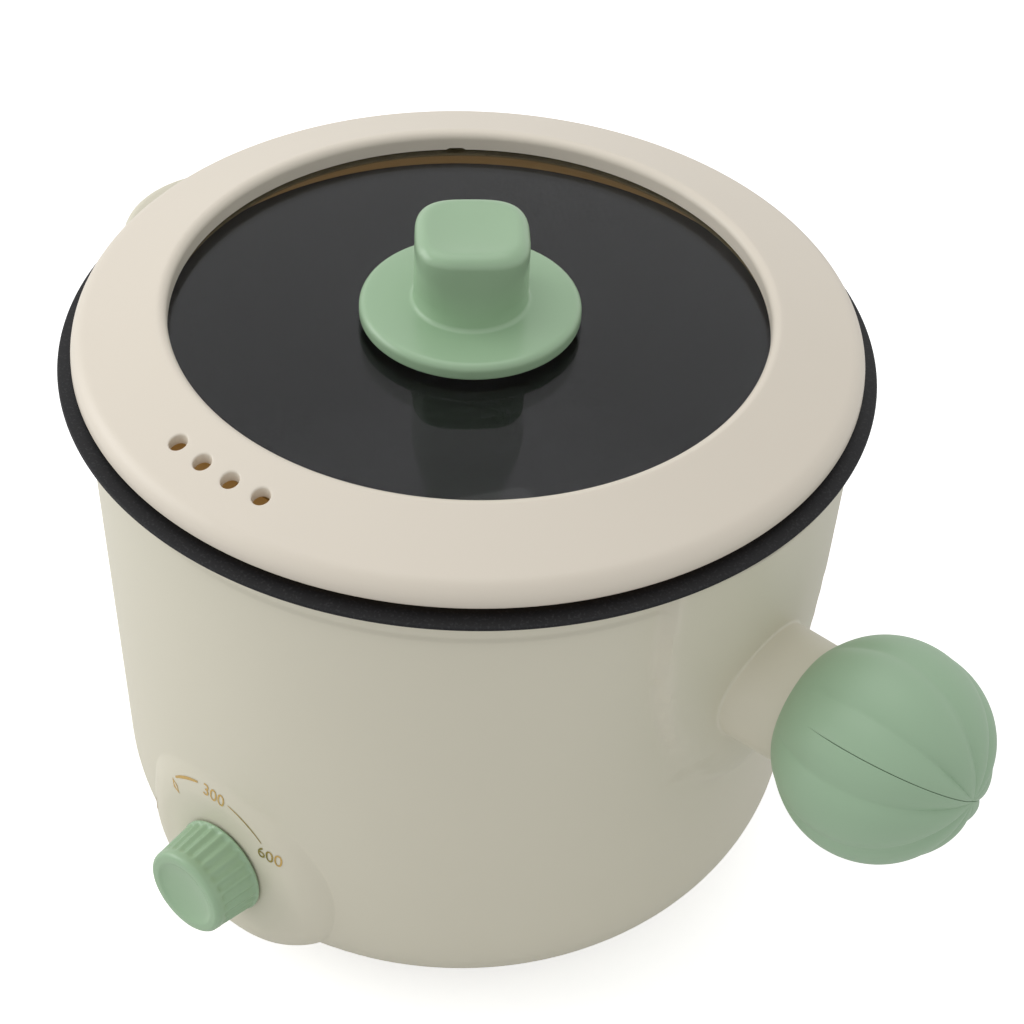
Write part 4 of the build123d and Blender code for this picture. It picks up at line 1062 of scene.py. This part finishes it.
def makeKnob():
    low, high = knobLow[2], knobHigh[2]
    hollowR = knob["stemR"] - knob["wall"]
    flangeTop = low + knob["edge"]
    stemZ = flangeTop + knob["crown"]
    waist = knob["stemR"] * knob["narrowing"]
    straightTop = stemZ + knob["straight"]
    roundFrom = high - knob["topRound"]
    outline = roundedPath(
        [
            (hollowR, low),
            (knob["flangeR"], low, 0.8),
            (knob["flangeR"], flangeTop, knob["edgeRound"]),
            (knob["stemR"], stemZ, knob["foot"]),
            (waist, straightTop),
        ],
        arcStep=12,
        lineStep=2.5,
    )
    rings = [(r, z, 2.0) for r, z in outline]
    for share in np.linspace(0, 1, 13)[1:]:
        z = straightTop + (roundFrom - straightTop) * share
        half = waist + (knob["topHalf"] - waist) * smooth(share)
        rings.append((half, z, 2 + (knob["squareness"] - 2) * smooth(share * 0.9 + 0.1)))
    for lean in np.linspace(0, 78, 9)[1:]:
        inset = knob["topRound"] * (1 - math.cos(math.radians(lean)))
        rise = knob["topRound"] * math.sin(math.radians(lean))
        rings.append((knob["topHalf"] - inset, roundFrom + rise, knob["squareness"]))
    # the top rises a hair past the rounding and then dips to the middle
    topR, topZ, power = rings[-1]
    rings.append((topR * 0.93, topZ + 0.03, power))
    for share in (0.8, 0.6, 0.4, 0.2, 0.0):
        rings.append((topR * share, topZ + 0.06 - knob["dish"] * (1 - share**2), power))
    columns = knob["columns"]
    points = []
    for half, z, power in rings:
        ring = squaredRing(max(half, 1e-6), power, knob["turn"], columns)
        points += [(x, y, z) for x, y in ring]
    faces = ringFaces(len(rings), columns)
    # the hollow underneath, up to the roof, with the screw's boss in the middle
    roof = high - knob["dish"] - knob["wall"]
    start = len(points)
    boreEnd = low + knob["boreDepth"]
    below = [
        (hollowR, low),
        (hollowR, roof),
        (knob["bossR"], roof),
        (knob["bossR"], low),
        (knob["boreR"], low),
        (knob["boreR"], boreEnd),
        (0, boreEnd),
    ]
    for r, z in below:
        ring = squaredRing(max(r, 1e-6), 2.0, 0, columns)
        points += [(x, y, z) for x, y in ring]
    faces += [tuple(start + k for k in reversed(face)) for face in ringFaces(len(below), columns)]
    return meshOf("lidKnob", points, faces, sageGloss, sharp=45)


placed(makeKnob(), "lid", "sage_gloss", "lid_knob")
print("knob made")


# ---------- dial ----------

dialLow, dialHigh = millimetres("dial")
dial = dict(
    z=40.2, back=-dialHigh[1] - 0.3, front=-dialLow[1], baseR=13.0, faceR=11.7, edge=1.3, lip=0.5,
    dishR=8.9, dish=1.35, dishEdge=0.55, hollowR=6.4,
    wall=2.2, hubR=5.2, hubFrom=3.2, boreR=3.02, boreEnd=0.8,
    flutes=26, depth=0.6, fluted=0.70, fade=1.3, perFlute=14,
)


def makeDial():
    length = dial["front"] - dial["back"]
    columns = dial["flutes"] * dial["perFlute"]
    angle = np.arange(columns) * 2 * math.pi / columns
    side = roundedPath(
        [(dial["baseR"], 0, 0), (dial["faceR"], length, dial["edge"]), (dial["dishR"], length)],
        arcStep=12,
        lineStep=0.6,
    )
    base = [
        (dial["baseR"] - 0.15, 0),
        (dial["baseR"] + 0.1, 0.12),
        (dial["baseR"] + 0.12, dial["lip"]),
        (dial["baseR"] - 0.08, dial["lip"] + 0.2),
    ]
    side = np.vstack([base, [row for row in side[1:-1] if row[1] > dial["lip"] + 0.4]])
    bowlR = dial["dishR"] - 0.9
    bowlDepth = dial["dish"] - dial["dishEdge"]
    dishSide = [
        (dial["dishR"] + 0.5, length),
        (dial["dishR"] + 0.15, length - 0.06),
        (dial["dishR"] - 0.3, length - 0.3),
        (bowlR, length - dial["dishEdge"]),
    ]
    bowlRadii = np.linspace(dial["hollowR"], 0, 5)
    hollow = [(r, length - dial["dish"] + bowlDepth * (r / bowlR) ** 2) for r in bowlRadii]
    outline = np.vstack([side, dishSide, hollow])
    end = length * dial["fluted"]
    wave = (0.5 - 0.5 * np.cos(angle * dial["flutes"])) ** 0.8
    rings = []
    for r, h in outline:
        over = np.clip((h - end) / dial["fade"], 0, 1)
        onSide = r > dial["faceR"] - 0.5 and h < length - dial["edge"]
        strength = math.sqrt(1 - over**2) if onSide else 0.0
        strength *= float(smooth((h - dial["lip"]) / 0.6))
        rings.append((r - dial["depth"] * strength * wave, h))
    points = []
    for r, h in rings:
        out = np.full(columns, dial["back"] + h)
        points += list(np.stack([r * np.cos(angle), -out, dial["z"] + r * np.sin(angle)], 1))
    faces = ringFaces(len(rings), columns)
    inner = dial["baseR"] - dial["depth"] - dial["wall"]
    floor = length - dial["dish"] - dial["wall"]
    start = len(points)
    boreEnd = floor + dial["boreEnd"]
    below = [
        (inner, 0),
        (inner - 1.0, floor),
        (dial["hubR"], floor),
        (dial["hubR"], dial["hubFrom"]),
        (dial["boreR"], dial["hubFrom"]),
        (dial["boreR"], boreEnd),
        (0, boreEnd),
    ]
    for r, h in below:
        points += [(r * math.cos(a), -(dial["back"] + h), dial["z"] + r * math.sin(a)) for a in angle]
    faces += [tuple(start + k for k in reversed(face)) for face in ringFaces(len(below), columns)]
    bridge(faces, range(columns), range(start, start + columns))
    return meshOf("powerDial", points, faces, sageGloss, sharp=45)


placed(makeDial(), "dial", "sage_gloss", "dial")
print("dial made")


# Marks round the dial, printed on the boss: upright numbers, a pointer and two arcs.
# Angles are clockwise from the top, radii and places from the dial's axis.
marks = dict(
    numbers=(("0", -27.5, -0.5), ("300", -2.0, 23.4), ("600", 16.2, 13.8)),
    numberSize=5.2,
    arcs=((-41.7, -18.0, 25.2, 25.2, 0.85), (7.2, 38.6, 23.6, 22.0, 0.38)),  # angles, radii, width
    arcSteps=40,
    pointerAt=-46.0,
    pointer=((0.0, 20.8), (1.0, 23.0), (0.0, 25.3), (-1.0, 23.0)),
    lift=0.1,
    cut=0.6,
)


def onBoss(flat):  # flat places round the dial's axis, lifted on to the boss
    flat = np.asarray(flat, float)
    out = bossHeight(flat[:, 0], flat[:, 1] + dial["z"] - boss["z"]) + marks["lift"]
    return np.stack([flat[:, 0], -out, dial["z"] + flat[:, 1]], 1)


def turned(flat, degrees):
    angle = math.radians(degrees)
    side, rise = np.asarray(flat, float).T
    across = side * math.cos(angle) + rise * math.sin(angle)
    up = rise * math.cos(angle) - side * math.sin(angle)
    return np.stack([across, up], 1)


# A number as a flat mesh, cut into small faces so that it can follow the boss.
def numberShape(label):
    curve = bpy.data.curves.new("number", "FONT")
    curve.body = label
    curve.size = marks["numberSize"]
    curve.align_x, curve.align_y = "CENTER", "CENTER"
    curve.resolution_u = 6
    holder = bpy.data.objects.new("number", curve)
    bpy.context.scene.collection.objects.link(holder)
    graph = bpy.context.evaluated_depsgraph_get()
    mesh = bpy.data.meshes.new_from_object(holder.evaluated_get(graph))
    bpy.data.objects.remove(holder)
    shape = bmesh.new()
    shape.from_mesh(mesh)
    reach = marks["numberSize"]
    for axis in ((1, 0, 0), (0, 1, 0)):
        for cut in np.arange(-reach, reach, marks["cut"]):
            geometry = shape.verts[:] + shape.edges[:] + shape.faces[:]
            bmesh.ops.bisect_plane(shape, geom=geometry, plane_co=Vector(axis) * cut, plane_no=axis)
    bmesh.ops.triangulate(shape, faces=shape.faces)
    shape.verts.index_update()
    return shape


def makeMarks():
    points, faces = [], []
    steps = marks["arcSteps"]
    for first, last, firstR, lastR, width in marks["arcs"]:
        start = len(points)
        angles = np.radians(np.linspace(first, last, steps))
        taper = np.sin(np.linspace(0.12, 0.88, steps) * math.pi) ** 0.5 * width / 2
        for side in (-1, 1):
            r = np.linspace(firstR, lastR, steps) + side * taper
            points += list(onBoss(np.stack([r * np.sin(angles), r * np.cos(angles)], 1)))
        inner = range(start, start + steps - 1)
        faces += [(k, k + 1, k + steps + 1, k + steps) for k in inner]
    start = len(points)
    points += list(onBoss(turned(marks["pointer"], marks["pointerAt"])))
    faces.append(tuple(range(start, start + len(marks["pointer"]))))
    for label, atSide, atRise in marks["numbers"]:
        shape = numberShape(label)
        flat = np.array([(v.co.x + atSide, v.co.y + atRise) for v in shape.verts])
        start = len(points)
        points += list(onBoss(flat))
        faces += [tuple(start + v.index for v in face.verts) for face in shape.faces]
        shape.free()
    piece = meshOf("dialMarks", points, faces, goldPrint, sharp=60, merge=0.0005)
    mesh = piece.data
    if sum(face.normal.y * face.area for face in mesh.polygons) > 0:
        mesh.flip_normals()
    return piece


placed(makeMarks(), "casing", "brass")
print("marks made")


# ---------- ball handle, grown by geometry nodes ----------

ball = dict(
    centre=(130.4, 0.0, 103.1), arcR=25.0, flat=2.2, wall=2.8, neckR=15.9, lobes=9, depth=1.35, bulge=2.4,
    seamTilt=38.5, gap=0.08, ease=0.3, easeDepth=0.12, poleWidth=9.0,
    lobeFade=(0.0, 0.22), seamFade=(0.2, 0.36), rows=150, columns=130,
)


def makeLobedTree():
    tree, value, out = newGroup(
        "lobedHalfBall",
        "GeometryNodeTree",
        [
            ("Arc Radius", "NodeSocketFloat", ball["arcR"] * mm),
            ("Axis Offset", "NodeSocketFloat", ball["flat"] * mm),
            ("Wall", "NodeSocketFloat", ball["wall"] * mm),
            ("Neck Radius", "NodeSocketFloat", ball["neckR"] * mm),
            ("Lobes", "NodeSocketFloat", 9.0),
            ("Crease Depth", "NodeSocketFloat", 1.0 * mm),
            ("Bulge", "NodeSocketFloat", 2.4),
            ("Seam Gap", "NodeSocketFloat", 0.1 * mm),
            ("Side", "NodeSocketFloat", 1.0),
            ("Rows", "NodeSocketInt", 100),
            ("Columns", "NodeSocketInt", 100),
            ("Material", "NodeSocketMaterial", None),
        ],
        [("Geometry", "NodeSocketGeometry")],
    )
    link = tree.links.new

    def calc(operation, *parts):
        return mathOf(tree, operation, *parts)

    grid = nodeOf(tree, "GeometryNodeMeshGrid")
    cells = {"Size X": 1.0, "Size Y": 1.0, "Vertices X": value["Columns"], "Vertices Y": value["Rows"]}
    feed(tree, grid.inputs, cells)
    spot = nodeOf(tree, "ShaderNodeSeparateXYZ")
    link(nodeOf(tree, "GeometryNodeInputPosition").outputs[0], spot.inputs[0])

    # the section is an arc whose centre lies off the handle's axis; it runs from the
    # neck's opening to the outer pole, where it meets the axis
    offAxis = calc("SUBTRACT", value["Neck Radius"], value["Axis Offset"])
    opening = calc("ARCSINE", calc("DIVIDE", offAxis, value["Arc Radius"]))
    pole = calc("ADD", calc("ARCSINE", calc("DIVIDE", value["Axis Offset"], value["Arc Radius"])), math.pi)
    along = calc("ADD", spot.outputs["Y"], 0.5)
    onArc = calc("ADD", opening, calc("MULTIPLY", along, calc("SUBTRACT", pole, opening)))
    # from seam to seam, columns closer near the seams
    around = calc("MULTIPLY", calc("SINE", calc("MULTIPLY", spot.outputs["X"], math.pi)), math.pi / 2)
    ringR = calc("MULTIPLY_ADD", value["Arc Radius"], calc("SINE", onArc), value["Axis Offset"])
    ringR = calc("MAXIMUM", ringR, 0.0)

    # both halves have the middle of a lobe at the same seam
    pitch = calc("DIVIDE", 2 * math.pi, value["Lobes"])
    phase = calc("MULTIPLY_ADD", around, value["Side"], math.pi / 2)
    phase = calc("FRACT", calc("DIVIDE", phase, pitch))
    # 0 in the middle of a lobe, 1 in the crease between two
    fromMiddle = calc("MULTIPLY", calc("ABSOLUTE", calc("SUBTRACT", phase, 0.5)), 2.0)
    fromMiddle = calc("SUBTRACT", 1.0, fromMiddle)
    lobeWidth = calc("MULTIPLY", pitch, ringR)
    valley = calc("POWER", fromMiddle, value["Bulge"])
    poleFade = calc("MINIMUM", calc("DIVIDE", lobeWidth, ball["poleWidth"] * mm), 1.0)
    lobeFade = smoothStep(tree, along, *ball["lobeFade"])
    seamFade = smoothStep(tree, along, *ball["seamFade"])
    depth = calc("MULTIPLY", calc("MULTIPLY", value["Crease Depth"], valley), poleFade)
    depth = calc("MULTIPLY", depth, lobeFade)

    # the seam opens away from the neck, and its edge is eased
    toSeam = calc("SUBTRACT", math.pi / 2, calc("ABSOLUTE", around))
    toSeam = calc("MULTIPLY", toSeam, ringR)
    ease = calc("SUBTRACT", 1.0, calc("MINIMUM", calc("DIVIDE", toSeam, ball["ease"] * mm), 1.0))
    ease = calc("MULTIPLY", calc("POWER", ease, 2.0), ball["easeDepth"] * mm)
    ease = calc("MULTIPLY", ease, seamFade)
    radius = calc("SUBTRACT", calc("SUBTRACT", value["Arc Radius"], depth), ease)
    flat = calc("MULTIPLY_ADD", radius, calc("SINE", onArc), value["Axis Offset"])
    flat = calc("MAXIMUM", flat, 0.0)
    x = calc("MULTIPLY", calc("MULTIPLY", radius, calc("COSINE", onArc)), -1.0)
    y = calc("MULTIPLY", flat, calc("SINE", around))
    z = calc("MULTIPLY", flat, calc("COSINE", around))
    gap = calc("MULTIPLY", value["Seam Gap"], seamFade)
    z = calc("MAXIMUM", z, gap)
    where = nodeOf(tree, "ShaderNodeCombineXYZ")
    feed(tree, where.inputs, {0: x, 1: y, 2: z})
    move = nodeOf(tree, "GeometryNodeSetPosition")
    feed(tree, move.inputs, {"Geometry": grid.outputs["Mesh"], "Position": where.outputs[0]})

    # the wall: the same skin pushed towards the ball's centre, sides joined
    inward = nodeOf(tree, "ShaderNodeVectorMath", operation="NORMALIZE")
    link(nodeOf(tree, "GeometryNodeInputPosition").outputs[0], inward.inputs[0])
    thick = nodeOf(tree, "GeometryNodeExtrudeMesh", mode="FACES")
    feed(tree, thick.inputs, {"Individual": False, "Mesh": move.outputs["Geometry"]})
    inset = calc("MULTIPLY", value["Wall"], -1.0)
    feed(tree, thick.inputs, {"Offset": inward.outputs[0], "Offset Scale": inset})
    join = nodeOf(tree, "GeometryNodeJoinGeometry")
    link(thick.outputs["Mesh"], join.inputs[0])
    link(move.outputs["Geometry"], join.inputs[0])
    weld = nodeOf(tree, "GeometryNodeMergeByDistance")
    feed(tree, weld.inputs, {"Geometry": join.outputs[0], "Distance": 0.002 * mm})
    real = nodeOf(tree, "GeometryNodeRealizeInstances")
    link(weld.outputs["Geometry"], real.inputs[0])
    paint = nodeOf(tree, "GeometryNodeSetMaterial")
    feed(tree, paint.inputs, {"Geometry": real.outputs[0], "Material": value["Material"]})
    link(paint.outputs["Geometry"], out[0])
    return tree


# The result of a geometry tree as a plain mesh object; inputs are set by identifier.
def grownPiece(name, tree, values):
    holder = bpy.data.objects.new(name + "Source", bpy.data.meshes.new(name + "Source"))
    bpy.context.scene.collection.objects.link(holder)
    modifier = holder.modifiers.new("grow", "NODES")
    modifier.node_group = tree
    for socket in tree.interface.items_tree:
        if socket.item_type == "SOCKET" and socket.in_out == "INPUT" and socket.name in values:
            modifier[socket.identifier] = values[socket.name]
    graph = bpy.context.evaluated_depsgraph_get()
    mesh = bpy.data.meshes.new_from_object(holder.evaluated_get(graph))
    holder.modifiers.remove(modifier)
    bpy.data.objects.remove(holder)
    mesh.name = name
    piece = bpy.data.objects.new(name, mesh)
    bpy.context.scene.collection.objects.link(piece)
    return piece


def outwards(mesh, sharp=40.0):  # welded, facing outwards, smooth between sharp edges
    shape = bmesh.new()
    shape.from_mesh(mesh)
    bmesh.ops.remove_doubles(shape, verts=shape.verts, dist=0.002 * mm)
    bmesh.ops.dissolve_degenerate(shape, edges=shape.edges, dist=0.001 * mm)
    bmesh.ops.recalc_face_normals(shape, faces=shape.faces)
    shape.to_mesh(mesh)
    shape.free()
    mesh.shade_smooth()
    mesh.set_sharp_from_angle(angle=math.radians(sharp))


lobedTree = makeLobedTree()


def makeBallHalf(name, side):
    piece = grownPiece(
        name,
        lobedTree,
        {
            "Arc Radius": ball["arcR"] * mm,
            "Axis Offset": ball["flat"] * mm,
            "Wall": ball["wall"] * mm,
            "Neck Radius": ball["neckR"] * mm,
            "Lobes": float(ball["lobes"]),
            "Crease Depth": ball["depth"] * mm,
            "Bulge": ball["bulge"],
            "Seam Gap": ball["gap"] * mm,
            "Side": float(side),
            "Rows": ball["rows"],
            "Columns": ball["columns"],
            "Material": sageSatin,
        },
    )
    # the half is grown with its middle up; the seam is tilted about the handle's axis
    tilt = math.radians(ball["seamTilt"] + (0 if side > 0 else 180))
    turn = Matrix.Rotation(-tilt, 4, "X")
    piece.data.transform(Matrix.Translation(Vector(ball["centre"]) * mm) @ turn)
    outwards(piece.data, sharp=50)
    return piece


placed(makeBallHalf("ballTop", 1), "casing", "sage_satin", "handle_ball_top")
placed(makeBallHalf("ballBottom", -1), "casing", "sage_satin", "handle_ball_bottom")
print("ball handle made")


# ---------- finishes of the CAD nodes that stay ----------

stayFinish = {
    casingCream: ["base_cover"],
    footRubber: ["rubber_feet"],
    zincSteel: [
        "base_screws", "thermostat_screws", "switch_nut", "switch_shaft", "handle_bolt", "lid_screws",
        "knob_screw",
    ],
    siliconeSeal: ["rim_gasket", "knob_gasket"],
    castAluminium: ["heating_plate"],
    sheetSteel: ["heating_element", "heat_shield", "thermal_fuse", "fuse_clip", "knob_washer"],
    ceramicBody: ["thermostat"],
    darkPlastic: ["rotary_switch", "power_inlet", "handle_core"],
    brightBrass: ["switch_tabs", "inlet_pins"],
    wireSleeve: ["wire_live", "wire_switched", "wire_heater", "wire_neutral", "wire_earth"],
}
for finish, names in stayFinish.items():
    for name in names:
        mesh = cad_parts[name].data
        for index in range(len(mesh.materials)):
            mesh.materials[index] = finish
        if not mesh.materials:
            mesh.materials.append(finish)


# ---------- floor, light and camera ----------

studio = dict(
    floorSize=8.0, skyShade=0.63, floorLift=0.6,
    camera=(350.0, -417.11, 570.04), target=(15.81, 0.0, 109.28), roll=2.651, lens=98.455,
)


def addFloor():
    half = studio["floorSize"] / 2
    mesh = bpy.data.meshes.new("floor")
    corners = [(-half, -half, 0), (half, -half, 0), (half, half, 0), (-half, half, 0)]
    mesh.from_pydata(corners, [], [(0, 1, 2, 3)])
    floor = bpy.data.objects.new("floor", mesh)
    bpy.context.scene.collection.objects.link(floor)
    material = bpy.data.materials.new("paleFloor")
    material.use_nodes = True
    tree = material.node_tree
    path = nodeOf(tree, "ShaderNodeLightPath")
    looks = {
        "Base Color": (0.86, 0.86, 0.86, 1),
        "Roughness": 0.9,
        "Specular IOR Level": 0.0,
        "Emission Color": (1, 1, 1, 1),
        "Emission Strength": mathOf(tree, "MULTIPLY", path.outputs["Is Camera Ray"], studio["floorLift"]),
    }
    feed(tree, tree.nodes["Principled BSDF"].inputs, looks)
    mesh.materials.append(material)


def addLamp(name, size, energy, place, target):
    lamp = bpy.data.lights.new(name, "AREA")
    lamp.shape = "RECTANGLE"
    lamp.size, lamp.size_y = size
    lamp.energy = energy
    holder = bpy.data.objects.new(name, lamp)
    holder.location = place
    holder.rotation_euler = (Vector(target) - Vector(place)).to_track_quat("-Z", "Y").to_euler()
    bpy.context.scene.collection.objects.link(holder)


def addSky():
    world = bpy.data.worlds.new("studioSky")
    bpy.context.scene.world = world
    world.use_nodes = True
    tree = world.node_tree
    path = nodeOf(tree, "ShaderNodeLightPath")
    seen = mathOf(tree, "MAXIMUM", path.outputs["Is Camera Ray"], path.outputs["Is Glossy Ray"])
    seen = mathOf(tree, "MAXIMUM", seen, path.outputs["Is Transmission Ray"])
    strength = mathOf(tree, "MULTIPLY_ADD", seen, 1.0 - studio["skyShade"], studio["skyShade"])
    feed(tree, tree.nodes["Background"].inputs, {"Color": (1, 1, 1, 1), "Strength": strength})


def addCamera():
    lens = bpy.data.cameras.new("studioCamera")
    lens.sensor_width = 36.0
    lens.lens = studio["lens"]
    holder = bpy.data.objects.new("studioCamera", lens)
    place = Vector(studio["camera"]) * mm
    ahead = (Vector(studio["target"]) * mm - place).normalized()
    right = ahead.cross(Vector((0, 0, 1))).normalized()
    up = right.cross(ahead)
    roll = math.radians(studio["roll"])
    tiltRight = right * math.cos(roll) + up * math.sin(roll)
    tiltUp = up * math.cos(roll) - right * math.sin(roll)
    turn = Matrix((tiltRight, tiltUp, -ahead)).transposed()
    holder.matrix_world = Matrix.Translation(place) @ turn.to_4x4()
    bpy.context.scene.collection.objects.link(holder)
    bpy.context.scene.camera = holder


addFloor()
addSky()
addLamp("overheadBox", (1.4, 1.4), 4.8, (-0.3, 0.1, 1.6), (0, 0, 0.1))
addLamp("leftKey", (1.4, 1.2), 12.0, (-1.5, -0.9, 0.8), (0, 0, 0.1))
addCamera()
bpy.context.scene.view_settings.view_transform = "Standard"
print("studio made")
